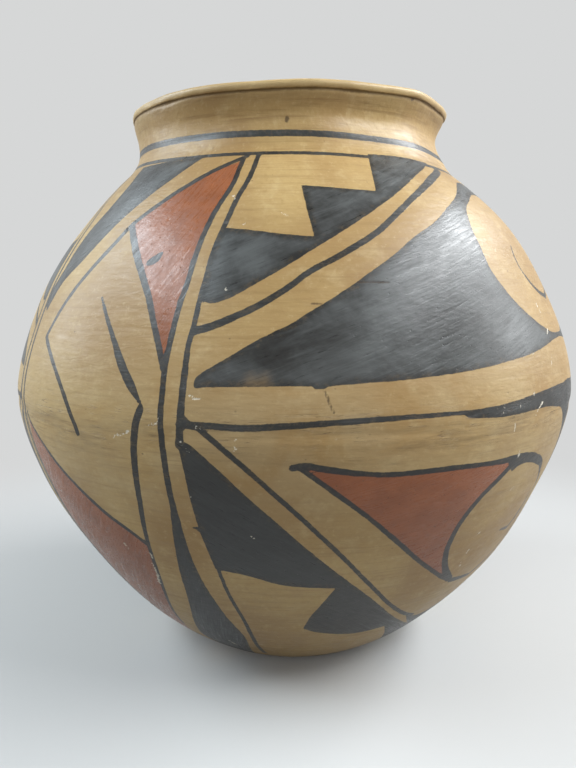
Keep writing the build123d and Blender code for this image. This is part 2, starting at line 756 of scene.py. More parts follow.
# The two upright lines between the panels and the wedge at their foot
BAND = (
    BrushLine(
        "band_left_line",
        px(244, 158, 233.4, 183.1, 216.2, 209.9, 203.7, 234.8, 195.1, 257.7, 187.5, 282.6,
           179.8, 305.6, 174.1, 326.6, 168.4, 349.6, 164.9, 368.7, 162.6, 393.6, 160.7, 408.7,
           160.7, 427.8, 164.5, 460.4, 170.3, 494.8, 174.5, 511),
        (2.8, 3.0, 3.2, 3.3, 3.2, 3.4, 3.6),
    ),
    BrushLine(
        "band_right_line",
        px(259.2, 154, 250.6, 175.5, 237.2, 198.4, 225.7, 223.3, 214, 250, 206, 278, 199, 303.7,
           193.2, 328.5, 188.4, 345.7, 185.6, 368.7, 182.5, 395.5, 180.3, 420, 179.5, 445),
        (2.8, 3.0, 3.0, 2.8, 2.9, 3.6, 4.4),
    ),
    PaintedField(
        "band_foot_wedge",
        px(169.4, 501, 170.3, 510.1, 174.1, 542.6, 179.8, 571.3, 189.4, 603.8, 197, 626.8)
        + spots(-31.6, 30, -31, 14, -30, 3, -18.5, 3)
        + px(246.8, 640.2, 225.7, 615.3, 208.5, 590.4, 195.1, 565.6, 185.6, 538.8, 181.6, 525.6,
             177.4, 510, 175.4, 502),
        75.0,
    ),
)

# Left of the band: red fields, leaves and a slanting shoulder line
NARROW_PANEL = (
    PaintedField(
        "shoulder_black",
        px(202.8, 158, 172.2, 179.3, 149.2, 196.5, 122.4, 219.5, 103.3, 238.6, 82.3, 261.6,
           63.1, 282.6, 51.7, 301.7, 46.5, 311.3, 46.9, 305, 53.6, 288.4, 65, 269.2, 76.5, 250.1,
           91.8, 229, 107.1, 211.8, 122.4, 193.7, 132, 182.2)
        + spots(-53, 322),
        35.0,
    ),
    BrushLine(
        "shoulder_line",
        px(246.8, 156.3, 214, 170.8, 190, 184.2, 164.5, 200.8, 133.5, 224.2, 114.8, 243.6,
           92.5, 268, 76.5, 287.6, 61.2, 309.5, 46.9, 336.2, 55.5, 368.7, 65, 397.4, 72.7, 420,
           78, 433),
        (3.4, 3.6, 3.7, 3.6, 3.2, 2.9, 3.3),
    ),
    PaintedField(
        "upper_red",
        px(243, 160.5, 214, 171.5, 190, 184.8, 165, 201.4, 133, 226, 138, 257.7, 147.6, 284.5,
           153, 320.9, 163.5, 366, 167, 349, 174, 326.6, 180, 305.6, 187.5, 282.6, 195, 257.7,
           204, 234.8, 216, 209.9, 233, 183.1),
        65.0,
        Paint.RED,
    ),
    BrushLine(
        "upper_red_left_line",
        px(132.5, 227, 134.6, 243, 137.6, 258, 142.8, 275, 148.4, 296, 153.2, 318, 158.5, 345,
           163.2, 368),
        (4.0, 4.4, 3.8, 3.5, 3.2),
    ),
    BrushLine(
        "upper_red_dab",
        px(149.8, 262.4, 153.4, 260.6, 158, 257.2, 163, 251.8),
        (4.2, 5.6, 3.8, 0.8),
    ),
    BrushLine(
        "upper_leaf",
        px(102.3, 297.9, 107.1, 317, 114.8, 341.9, 122.4, 366.8, 132, 387.8, 142.5, 407.5),
        (1.7, 2.3, 3.0, 4.7, 5.0, 1.2),
    ),
    BrushLine(
        "lower_leaf_line",
        px(139.6, 410.4, 135.8, 424, 133.9, 447, 135.8, 471.8, 140.6, 504.4, 145.4, 531.1,
           149.2, 546.4, 156.9, 569.4, 164.5, 590.4, 174.1, 611.5, 183.7, 623),
        (4.4, 4.2, 3.4, 2.8, 2.6, 2.4, 2.0, 2.0),
    ),
    PaintedField(
        "lower_red",
        px(28.7, 416.3, 38.3, 435.5, 61.2, 468, 86.1, 494.8, 107.1, 513.9, 130.1, 531.1,
           142.5, 540.7, 149, 546, 156.9, 569.4, 164.5, 590.4, 174.1, 611.5, 183.7, 623)
        + spots(-39, 24, -50, 24, -52.3, 60, -53.8, 110, -54.8, 150),
        60.0,
        Paint.RED,
    ),
    BrushLine(
        "lower_red_top_line",
        px(27.5, 411, 31.5, 423, 38.3, 435.5, 61.2, 468, 86.1, 494.8, 107.1, 513.9, 130.1, 531.1,
           146, 543),
        (2.0, 2.8, 3.0, 3.2, 3.0),
    ),
    BrushLine(
        "lower_red_left_line",
        spots(-54.9, 176, -54.8, 150, -53.8, 110, -52.3, 60, -50.5, 24),
        (1.6, 1.8),
    ),
)

# Right of the band: stepped corner, fan, ovals and stripes, up to the panel's axis
WIDE_PANEL = (
    PaintedField(
        "stepped_black",
        px(225, 227.5, 252, 230, 290, 234.5, 314.4, 236.2, 307, 210, 301, 185, 340, 188, 375.7, 191,
           371.5, 172, 367.5, 154, 400, 157, 426.5, 163.5, 414, 177.4, 395, 194.6, 366, 215.7,
           337, 234.8, 309, 252, 290, 264, 258, 282.6, 230, 298, 212, 303.2, 201, 301, 207.6, 269,
           216, 242),
        28.0,
    ),
    BrushLine(
        "diagonal_stripe",
        px(437.6, 170.6, 431.1, 179.3, 413.9, 196.5, 398.6, 211.8, 375.7, 232.9, 337.4, 256.8,
           308.7, 272.1, 289.8, 286.4, 258.3, 305.6, 229.6, 319, 210.4, 326.6, 195.1, 331),
        (4.4, 4.6, 3.9, 3.3, 3.4, 3.5, 3.2, 3.6, 4.2),
    ),
    PaintedField(
        "fan",
        px(193.3, 385.4, 194.5, 380.6, 197.4, 375.8, 212, 366.6, 227.5, 357.6, 243, 348.2,
           257.3, 340.2, 272, 332.6, 289.8, 324.4, 308.7, 312.3, 337.4, 295, 366.1, 275,
           394.8, 253.9, 413.9, 236.7, 433, 223.3, 446.4, 208, 454.5, 198)
        + spots(53, 311.5, 61.6, 314, 61.6, 306, 54, 304, 47.5, 298.5)
        + px(466.5, 209.9, 471.3, 227.1, 480.9, 248.2, 490.4, 269.2, 505.7, 290.3, 521.1, 307.5,
             538.3, 322.8, 547.8, 329.5)
        + spots(57, 223.4, 61.6, 222.8, 61.6, 220.4, 55.5, 219.2)
        + px(548.5, 343.3, 534.4, 352.4, 509.6, 361, 471.3, 370.6, 433, 376.4, 394.8, 381.1,
             356.5, 384, 328, 386.8, 325, 389, 315, 389.2, 312, 386.4, 280, 386.4, 229.6, 387.2,
             205, 387.4, 197, 388.6, 194.6, 387.8),
        24.0,
    ),
    BrushLine(
        "upper_oval_line",
        spots(54, 277, 51.5, 269, 51.2, 260.5, 53.6, 252, 57.2, 246.5, 61.4, 244),
        (0.5, 1.2, 1.8, 2.4, 3.0, 3.2),
    ),
    BrushLine(
        "belly_line",
        px(178, 424.2, 195, 425, 210.4, 426, 239.1, 428.2, 280, 426.6, 327.8, 423.5, 385.2, 419,
           433, 415.2, 463, 412.9, 480, 411.5),
        (3.0, 3.3, 3.3, 3.0, 2.7, 2.3, 2.1),
    ),
    PaintedField(
        "belly_wedge",
        px(455, 412, 461.7, 411.2, 500, 404.9, 538.3, 392.4, 556, 385)
        + spots(56.5, 194.3, 61.6, 195.4, 61.6, 164, 59.6, 164, 58, 172.5, 56, 179.5)
        + px(556, 406.4, 545.9, 406.8, 528.7, 411.6, 500, 417.3, 468.5, 417.6, 463.7, 414.6),
        12.0,
    ),
    PaintedField(
        "panel_column",
        spots(58.6, 172, 59.8, 158, 60, 130, 59.4, 100, 57, 77, 53, 61, 48, 51.5, 42, 47.5,
              36.2, 48.8, 29.5, 55, 34, 44.5, 44, 27, 38, 26, 38, 10, 61.6, 10, 61.6, 172),
        80.0,
    ),
    PaintedField(
        "lower_right_red",
        px(302, 467.5, 327.8, 470.5, 356.5, 473.5, 387.1, 474.9, 423.5, 472, 461.7, 467.2,
           500, 462.3, 512.4, 463.5, 500, 477.6, 480.9, 496.7, 463.7, 517.7, 452.2, 536.9,
           446.4, 552.2, 446.4, 572, 438.8, 575.1, 417.7, 559.8, 394.8, 539.7, 366.1, 515.8,
           337.4, 494.8),
        18.0,
        Paint.RED,
    ),
    BrushLine(
        "lower_red_top",
        px(292.5, 468.3, 304.9, 466.3, 327.8, 469.9, 356.5, 473.2, 387.1, 474.7, 423.5, 471.8,
           461.7, 467, 500, 461.6, 515.3, 457.9, 528, 455.5, 537, 456.5, 540.5, 461),
        (3.6, 3.6, 2.8, 3.0, 3.2, 2.9, 4.2, 4.4, 2.6),
    ),
    PaintedField(
        "lower_red_corner",
        px(508, 462.4, 516, 458, 523.6, 455.6, 532.4, 452.8, 539.6, 454.4, 542.6, 459.6,
           541.4, 466.4, 538, 465, 532.4, 462.6, 525.8, 462.6, 519.2, 465.4, 511.5, 471.5),
        18.0,
    ),
    BrushLine(
        "lower_oval_right",
        px(539.5, 459, 539.8, 468)
        + spots(55.2, 134, 56.2, 120, 55.4, 100, 52, 82, 46.5, 74.5)
        + px(450.3, 579.9),
        (3.2, 2.2, 2.0, 2.2, 3.2, 4.6),
    ),
    BrushLine(
        "lower_red_slant",
        px(300, 468.5, 304.9, 471.8, 337.4, 494.8, 366.1, 515.8, 394.8, 539.7, 417.7, 559.8,
           438.8, 575.1, 448, 579.5),
        (2.8, 2.7, 2.9, 2.8, 3.2),
    ),
    BrushLine(
        "lower_red_arc",
        px(514.5, 461, 500, 477.6, 480.9, 496.7, 463.7, 517.7, 452.2, 536.9, 446.2, 552.2,
           444.8, 567, 448.6, 578.6),
        (4.2, 3.9, 3.9, 4.2, 5.2),
    ),
    BrushLine(
        "lower_oval_line",
        px(499.5, 529.6)
        + spots(51, 106, 53, 112, 53.9, 121, 53.4, 130),
        (1.7, 3.0, 3.4, 2.6, 0.8),
    ),
    PaintedField(
        "belly_line_fillet",
        px(182, 412, 184.6, 415.4, 188.4, 419.6, 193, 422.6, 197, 424.2, 190, 426, 181, 426),
        45.0,
    ),
    BrushLine(
        "lower_diagonal",
        px(180.5, 425, 197, 427.8, 220, 447, 248.7, 471.8, 280, 499.6, 308.7, 525.4, 337.4, 552.2,
           366.1, 580.9, 387.1, 601.9, 402.4, 612.6, 412, 614.5),
        (3.0, 2.9, 2.8, 2.7, 2.6, 2.6, 2.8, 3.2),
    ),
    PaintedField(
        "lower_black",
        px(177.5, 441, 183, 441.2, 191.3, 446, 220, 471.8, 248.7, 498.6, 280, 525.4, 308.7, 550.3,
           337.4, 573.2, 366.1, 594.3, 394.8, 617.2, 407.2, 624.9)
        + spots(46, 22, 40, 12, 33, 24)
        + px(384, 626, 366, 631, 347, 633.8, 318.3, 632.5, 303, 628.7, 310, 617, 318.3, 607.7,
             327, 598, 335.5, 588.3, 308.7, 587.6, 280, 584.7, 248.7, 576.1, 215.6, 568.8,
             207.6, 550.3, 199, 529.2, 191.3, 502.4, 183.7, 469.9),
        -40.0,
    ),
    BrushLine(
        "foot_line",
        px(218.4, 569, 230, 596.2, 246.2, 624, 265, 652.6),
        (2.2, 2.3, 2.5, 2.8),
    ),
)

# Chips that show pale clay: name, places and widths
CHIPS = (
    ("belly_chip_a", px(113, 437.5, 118, 434.5, 123, 434.5, 129, 430), (0.6, 1.6, 0.7, 1.2)),
    ("belly_chip_b", px(105, 440.5, 110.5, 442), (0.5, 1.1)),
    ("belly_chip_c", px(149, 425, 153, 424.6, 158, 421, 158.4, 418), (0.5, 1.2, 1.4, 0.6)),
    ("belly_chip_d", px(189, 395, 195, 398.5, 200, 399.5, 201, 396), (0.7, 1.6, 1.3, 0.8)),
    ("belly_chip_e", px(234, 440, 236, 449), (0.4, 0.9)),
    ("belly_chip_f", px(131, 429.5, 132.5, 431), (1.0, 1.0)),
    ("seam_scuff", px(337, 437, 336, 438.5), (0.5, 0.9)),
    ("right_scratch", px(542.8, 402, 540, 406.6, 537, 412, 534.5, 418, 531.8, 423.8),
     (0.7, 2.0, 0.4, 1.3, 0.4, 1.5, 0.5)),
    ("right_drip_a", px(504, 404.5, 504.2, 413.5), (0.8, 0.2, 0.9)),
    ("right_drip_b", px(515.2, 424, 514.8, 428, 513.2, 434.5), (0.9, 1.1, 0.1, 0.9, 0.5)),
    ("right_drip_c", px(520.4, 449, 518.6, 455.5), (1.0, 1.9)),
    ("right_drip_d", px(461.6, 561, 459.5, 566), (0.6, 1.4)),
    ("right_drip_e", px(551, 351.5, 551.4, 360, 551.7, 373), (0.8, 0.2, 1.3, 0.6, 0.1, 0.9)),
    ("right_drip_f", px(520.3, 402.4, 520.5, 407.4), (0.8, 0.3, 0.7)),
    ("joint_speck_a", px(180.2, 441, 183, 445.5), (1.0, 0.7)),
    ("joint_speck_b", px(186.6, 449.5, 189, 453), (0.9, 0.6)),
    ("joint_speck_c", px(194.5, 426, 200, 428.6), (0.6, 1.2)),
    ("belly_scratch", px(234.6, 440, 235.6, 439.4, 235.4, 452), (0.9, 1.2, 1.0)),
    ("right_scuff_c", px(534.6, 386.5, 534.2, 393.4), (0.5, 0.6, 1.6)),
    ("fan_edge_fleck", px(532.4, 354.8, 533.6, 354.2), (1.4, 1.4)),
    ("right_scuff_d", px(547, 333.5, 547.3, 328.5), (1.6, 0.8)),
    ("right_scuff_e", px(536, 303, 540.5, 312.5), (0.7, 1.3, 0.4, 1.2)),
    ("right_scuff_f", px(509, 491, 513, 487.5), (0.5, 1.2)),
    ("right_scuff_g", px(466, 554, 469, 549), (0.5, 1.1)),
    ("right_scuff_h", px(475, 537, 480, 532), (0.5, 0.9)),
    ("red_edge_chip_a", px(150, 553, 153, 559), (2.0, 1.0)),
    ("red_edge_chip_b", px(152.5, 563, 157, 573, 160, 583), (1.0, 1.9, 1.1)),
    ("red_chip_c", px(124, 543, 129, 549), (1.7, 0.9)),
    ("strip_fleck", px(186, 496, 191.5, 496.6), (0.5, 0.9)),
    ("black_fleck", px(251, 536.5, 253.5, 538), (0.6, 1.1)),
    ("foot_chip_a", px(211, 638.5, 217, 640), (0.8, 1.6)),
    ("foot_chip_b", px(229, 640.5, 236, 644, 242, 646), (1.2, 1.8, 0.6)),
    ("shoulder_chip_a", px(233.5, 195.5, 234.5, 198.5), (1.4, 1.4)),
    ("shoulder_chip_b", px(282, 213, 287, 215), (0.8, 1.2)),
    ("shoulder_chip_c", px(224.5, 286, 226, 289.5), (0.3, 0.8)),
    ("shoulder_chip_d", px(242, 226, 247, 222), (0.5, 0.9)),
)

SCUFFS = (
    *(BrushLine(*chip, Paint.CHIP) for chip in CHIPS),
    BrushLine("neck_dot", px(286.2, 121.6, 287.2, 118.8), (1.1, 1.5), Paint.CRACK),
    BrushLine("neck_nick_a", px(411.5, 105.5, 413, 105.5), (0.9, 0.7), Paint.CRACK),
    BrushLine("strip_tick", px(192.6, 527.5, 197.5, 528.6, 199.5, 531.5),
              (0.8, 2.2, 1.2), Paint.BLACK),
    BrushLine("fan_worn_patch", px(249, 382, 262, 382.5), (2.5, 4.0), Paint.WORN),
    BrushLine("belly_crack", px(323.6, 390, 327.5, 398, 330, 406, 334, 413.5),
              (0.4, 0.7, 0.5, 0.3), Paint.CRACK),
    BrushLine("fan_scratch", px(357, 282.5, 372, 281.8, 389, 283), (0.2, 0.6, 0.3), Paint.CRACK),
    BrushLine("stripe_scratch", px(311, 303.5, 322, 304.8), (0.3, 0.6), Paint.CRACK),
)


@dataclass(frozen=True)
class StrayChips:
    """Small chips on the sides that the photograph doesn't show, in degrees and millimetres."""

    count: int = 34
    seed: int = 5
    turns: tuple[float, float] = (72.0, 290.0)
    middle: float = 170.0
    spread: float = 52.0
    heights: tuple[float, float] = (20.0, 318.0)
    reaches: tuple[float, float] = (0.6, 2.2)
    widths: tuple[float, float] = (0.5, 1.3)
    bend: float = 1.4
    start_width: float = 0.4
    end_share: float = 0.6

    def lines(self) -> tuple[BrushLine, ...]:
        """Draws the chips.

        Returns:
            Short lines, most of them near the belly.
        """
        draw = np.random.default_rng(self.seed)
        made = []
        for i in range(self.count):
            turn = draw.uniform(*self.turns)
            height = float(np.clip(draw.normal(self.middle, self.spread), *self.heights))
            slant = draw.uniform(-1.0, 1.0)
            reach = draw.uniform(*self.reaches)
            width = draw.uniform(*self.widths)
            places = spots(
                turn, height,
                turn + 0.5 * reach, height + slant * reach,
                turn + reach, height + self.bend * slant * reach,
            )
            widths = (self.start_width, width, self.end_share * width)
            made.append(BrushLine(f"stray_chip_{i}", places, widths, Paint.CHIP))
        return tuple(made)


# The painted marks in the order in which they are laid, by how they come back round the jar
PAINTED_MARKS = (
    (Repeat.WIDE, BAND),
    (Repeat.NARROW, NARROW_PANEL),
    (Repeat.WIDE, WIDE_PANEL),
    (Repeat.ONCE, SCUFFS),
    (Repeat.ONCE, StrayChips().lines()),
)


class WallPlaces(NamedTuple):
    """Places on the wall by turn in radians, length up the wall in mm and radius in mm."""

    turn: Array
    length: Array
    radius: Array


@dataclass(frozen=True)
class PaintedDesign:
    """The painted pattern as distances in mm from each edge, read at places on the outside.

    Two narrow and two wide panels go round the jar. Each narrow panel comes back half a turn
    on. Each wide panel is folded about its own axis, and its far half is a little narrower.
    """

    wall: Profile
    shape: HandShape
    camera: PhotoCamera
    fold_turn: float = 61.0
    fold_share: float = 0.788
    corner_turn: float = 38.0
    step: float = 2.5
    least_radius: float = 20.0
    stroke_margin: float = 4.0
    stroke_shift: float = 37.0
    batch: int = 4_000_000

    def _landed(self, places: tuple[Spot | Pixel, ...]) -> Array:
        """Where the places of an outline lie on the wall.

        Args:
            places: Pixels or spots in order.

        Returns:
            The turn in radians and the length up the wall of each.
        """
        found = np.zeros((len(places), 2))
        pixels = [i for i, place in enumerate(places) if isinstance(place, Pixel)]
        if pixels:
            seen = np.array([places[i] for i in pixels], float)
            found[pixels] = self.camera.land(seen, self.wall, self.shape)
        for i, place in enumerate(places):
            if isinstance(place, Spot):
                found[i] = math.radians(place.turn), self.wall.length_at_height(place.height)
        return found

    def _flowing(self, knots: Array, closed: bool) -> tuple[Array, Array]:
        """A hand's line through places, smooth except at sharp corners.

        Args:
            knots: Turns and lengths that the line passes through.
            closed: Whether it comes back to its start.

        Returns:
            Close places along the line, and the share of the way along at each.
        """
        scale = np.array([PATTERN_RADIUS, 1.0])
        points = knots * scale
        ring = np.concatenate([points, points[:1]]) if closed else points
        steps = np.diff(ring, axis=0)
        spans = np.maximum(np.linalg.norm(steps, axis=1), TINY)
        heading = steps / spans[:, None]
        before = np.roll(heading, 1, axis=0)
        if not closed:
            before[0] = heading[0]
        cosine = np.clip((before * heading).sum(1), -1.0, 1.0)
        corner = np.degrees(np.arccos(cosine)) > self.corner_turn
        shared = before / spans[:, None] + heading / np.roll(spans, 1)[:, None]
        shared /= np.maximum(np.linalg.norm(shared, axis=1, keepdims=True), TINY)
        parts, shares = [], []
        count = len(spans)
        done = np.concatenate([[0.0], np.cumsum(spans)])
        for i in range(count):
            first = not closed and i == 0
            last = not closed and i == count - 1
            after = (i + 1) % count
            leave = heading[i] if first or corner[i] else shared[i]
            arrive = heading[i] if last or corner[after] else shared[after]
            t = np.linspace(0.0, 1.0, max(2, int(spans[i] / self.step) + 1), endpoint=False)
            shares.append((done[i] + t * spans[i]) / done[-1])
            t = t[:, None]
            parts.append(
                (2 * t ** 3 - 3 * t ** 2 + 1) * ring[i]
                + (t ** 3 - 2 * t ** 2 + t) * leave * spans[i]
                + (-2 * t ** 3 + 3 * t ** 2) * ring[i + 1]
                + (t ** 3 - t ** 2) * arrive * spans[i]
            )
        if not closed:
            parts.append(ring[-1:])
            shares.append(np.ones(1))
        return np.concatenate(parts) / scale, np.concatenate(shares)

    def _copies(self, line: Array, repeat: Repeat) -> list[Array]:
        """The line everywhere that it comes back round the jar.

        Args:
            line: Turns and lengths of the line.
            repeat: How it comes back.

        Returns:
            The line itself first, then its copies.
        """
        if repeat is Repeat.ONCE:
            return [line]
        sides = [line]
        if repeat is Repeat.WIDE:
            fold = math.radians(self.fold_turn)
            folded = line.copy()
            folded[:, 0] = fold + self.fold_share * (fold - line[:, 0])
            sides.append(folded)
        half_turn = np.array([math.pi, 0.0])
        return sides + [side + half_turn for side in sides]

    def _near(self, line: Array, places: WallPlaces) -> Iterator[tuple[Array, WallPlaces]]:
        """Finds the places close to a line, a batch at a time.

        Args:
            line: Turns and lengths of the line.
            places: All the places.

        Yields:
            Indices of close places, and those places with turns on the line's own side.
        """
        low, high = line.min(0), line.max(0)
        middle = 0.5 * (low[0] + high[0])
        own = middle + (places.turn - middle + math.pi) % FULL_TURN - math.pi
        slack = REACH / np.maximum(places.radius, self.least_radius)
        close = (own > low[0] - slack) & (own < high[0] + slack)
        close &= (places.length > low[1] - REACH) & (places.length < high[1] + REACH)
        index = np.flatnonzero(close)
        for part in np.array_split(index, max(1, len(index) * len(line) // self.batch)):
            yield part, WallPlaces(own[part], places.length[part], places.radius[part])

    @staticmethod
    def _gaps(line: Array, places: WallPlaces) -> tuple[Array, Array]:
        """Measures from places to the pieces of a line.

        Args:
            line: Turns and lengths of the line.
            places: The places, on the line's own side.

        Returns:
            Distance in mm from each place to each piece, and the share along the piece.
        """
        x = (line[None, :, 0] - places.turn[:, None]) * places.radius[:, None]
        y = line[None, :, 1] - places.length[:, None]
        along_x, along_y = np.diff(x, axis=1), np.diff(y, axis=1)
        size = np.maximum(along_x ** 2 + along_y ** 2, TINY)
        share = np.clip(-(x[:, :-1] * along_x + y[:, :-1] * along_y) / size, 0.0, 1.0)
        gap = np.hypot(x[:, :-1] + share * along_x, y[:, :-1] + share * along_y)
        return gap, share

    @staticmethod
    def _inside(loop: Array, places: WallPlaces) -> Array:
        """Whether places lie inside a closed outline.

        Args:
            loop: Turns and lengths of the outline, ending where it starts.
            places: The places, on the outline's own side.

        Returns:
            True for each place inside.
        """
        turn, length = places.turn[:, None], places.length[:, None]
        low, high = loop[None, :-1], loop[None, 1:]
        crosses = (low[..., 1] > length) != (high[..., 1] > length)
        climb = np.where(crosses, high[..., 1] - low[..., 1], 1.0)
        cut = low[..., 0] + (length - low[..., 1]) / climb * (high[..., 0] - low[..., 0])
        return (crosses & (turn < cut)).sum(1) % 2 == 1

    def _lay_line(self, mark: BrushLine, repeat: Repeat, places: WallPlaces, kept: Array) -> None:
        """Adds a brush line to the distances kept at the places.

        Args:
            mark: The line.
            repeat: How it comes back round the jar.
            places: The places.
            kept: The distances of its paint so far.
        """
        line, shares = self._flowing(self._landed(mark.places), closed=False)
        half = 0.5 * np.interp(shares, np.linspace(0.0, 1.0, len(mark.widths)), mark.widths)
        for copy in self._copies(line, repeat):
            for part, near in self._near(copy, places):
                gap, share = self._gaps(copy, near)
                width = half[None, :-1] + share * np.diff(half)[None, :]
                kept[part] = np.maximum(kept[part], (width - gap).max(1))

    def _lay_field(self, mark: PaintedField, repeat: Repeat, places: WallPlaces, kept: Array,
                   strokes: Array) -> None:
        """Adds a field to the distances kept at the places, and lays its brush strokes.

        Args:
            mark: The field.
            repeat: How it comes back round the jar.
            places: The places.
            kept: The distances of its paint so far.
            strokes: The brush-stroke places so far.
        """
        line, _ = self._flowing(self._landed(mark.outline), closed=True)
        for number, copy in enumerate(self._copies(line, repeat)):
            loop = np.concatenate([copy, copy[:1]])
            middle = loop.mean(0)
            folded = repeat is Repeat.WIDE and number % 2 == 1
            lean = math.radians(-mark.stroke_angle if folded else mark.stroke_angle)
            for part, near in self._near(loop, places):
                gap = self._gaps(loop, near)[0].min(1)
                signed = np.where(self._inside(loop, near), gap, -gap)
                kept[part] = np.maximum(kept[part], signed)
                laid = signed > -self.stroke_margin
                x = (near.turn[laid] - middle[0]) * PATTERN_RADIUS
                y = near.length[laid] - middle[1]
                along = x * math.cos(lean) + y * math.sin(lean)
                across = y * math.cos(lean) - x * math.sin(lean)
                shift = np.full(len(x), self.stroke_shift * (number + 1))
                strokes[part[laid]] = np.stack([along, across, shift], 1)

    def read(self, places: WallPlaces) -> tuple[dict[Paint, Array], Array]:
        """The painted distances at places on the outside.

        Args:
            places: The places.

        Returns:
            For each paint, the distance inside its nearest edge, below zero outside it, and
            the brush-stroke places of the fields.
        """
        count = len(places.turn)
        kept = {paint: np.full(count, -REACH) for paint in Paint}
        strokes = np.zeros((count, 3))
        strokes[:, 1] = places.length
        for repeat, marks in PAINTED_MARKS:
            for mark in marks:
                if isinstance(mark, PaintedField):
                    self._lay_field(mark, repeat, places, kept[mark.paint], strokes)
                else:
                    self._lay_line(mark, repeat, places, kept[mark.paint])
        degrees = np.degrees(places.turn)
        for ring in NECK_LINES:
            height = np.interp(degrees, ring.turns, ring.heights, period=360.0)
            gap = np.abs(places.length - self.wall.length_at_height(height))
            kept[Paint.BLACK] = np.maximum(kept[Paint.BLACK], 0.5 * ring.width - gap)
        return {paint: np.clip(gaps, -REACH, REACH) for paint, gaps in kept.items()}, strokes


class Finish:
    """A new material, and the net that its shader is wired in."""

    def __init__(self, name: str, specular: float) -> None:
        """Starts a material.

        Args:
            name: Its name.
            specular: How strongly it mirrors.
        """
        self.material = bpy.data.materials.new(name)
        self.material.use_nodes = True
        self.net = Net(self.material.node_tree)
        self.shader = self.material.node_tree.nodes["Principled BSDF"]
        self.shader.inputs["Specular IOR Level"].default_value = specular

    def wire(self, name: str, socket: bpy.types.NodeSocket) -> None:
        """Links what a socket gives to an input of the shader."""
        self.net.tree.links.new(socket, self.shader.inputs[name])

    def coat(self, skin: Value, rough: Value, relief: Value, strength: float) -> bpy.types.Material:
        """Links what a surface is made of to the shader.

        Args:
            skin: Its colour.
            rough: Its roughness.
            relief: Its height in millimetres.
            strength: How far the relief counts.

        Returns:
            The finished material.
        """
        inputs = {"Strength": strength, "Distance": MM, "Height": relief}
        bump = self.net.node("ShaderNodeBump", None, inputs)
        self.wire("Base Color", skin.socket)
        self.wire("Roughness", rough.socket)
        self.wire("Normal", bump.outputs["Normal"])
        return self.material


@dataclass(frozen=True)
class SlipZones:
    """Where wear, dirt, painted shade and painted sheen lie, in mm of wall from the lip's foot, belly
    or foot.
    """

    lip: Ramp = (0.8, 3.2)
    neck: Ramp = (-46.0, -30.0)
    groove_dirt_and_shade: Ramp = (-1.7, -0.5)
    lip_shade: Ramp = (-9.0, -0.5)
    groove_top: Ramp = (1.2, 0.4)
    keel: Ramp = (17.0, 3.0)
    belt: Ramp = (22.0, 2.0)
    belt_drop: float = 5.0
    handled_wear_and_sheen: Ramp = (62.0, 8.0)
    handled_drop: float = 6.0
    shoulder: Ramp = (-30.0, 50.0)
    foot: Ramp = (7.0, 2.0)
    foot_swing: float = 10.0


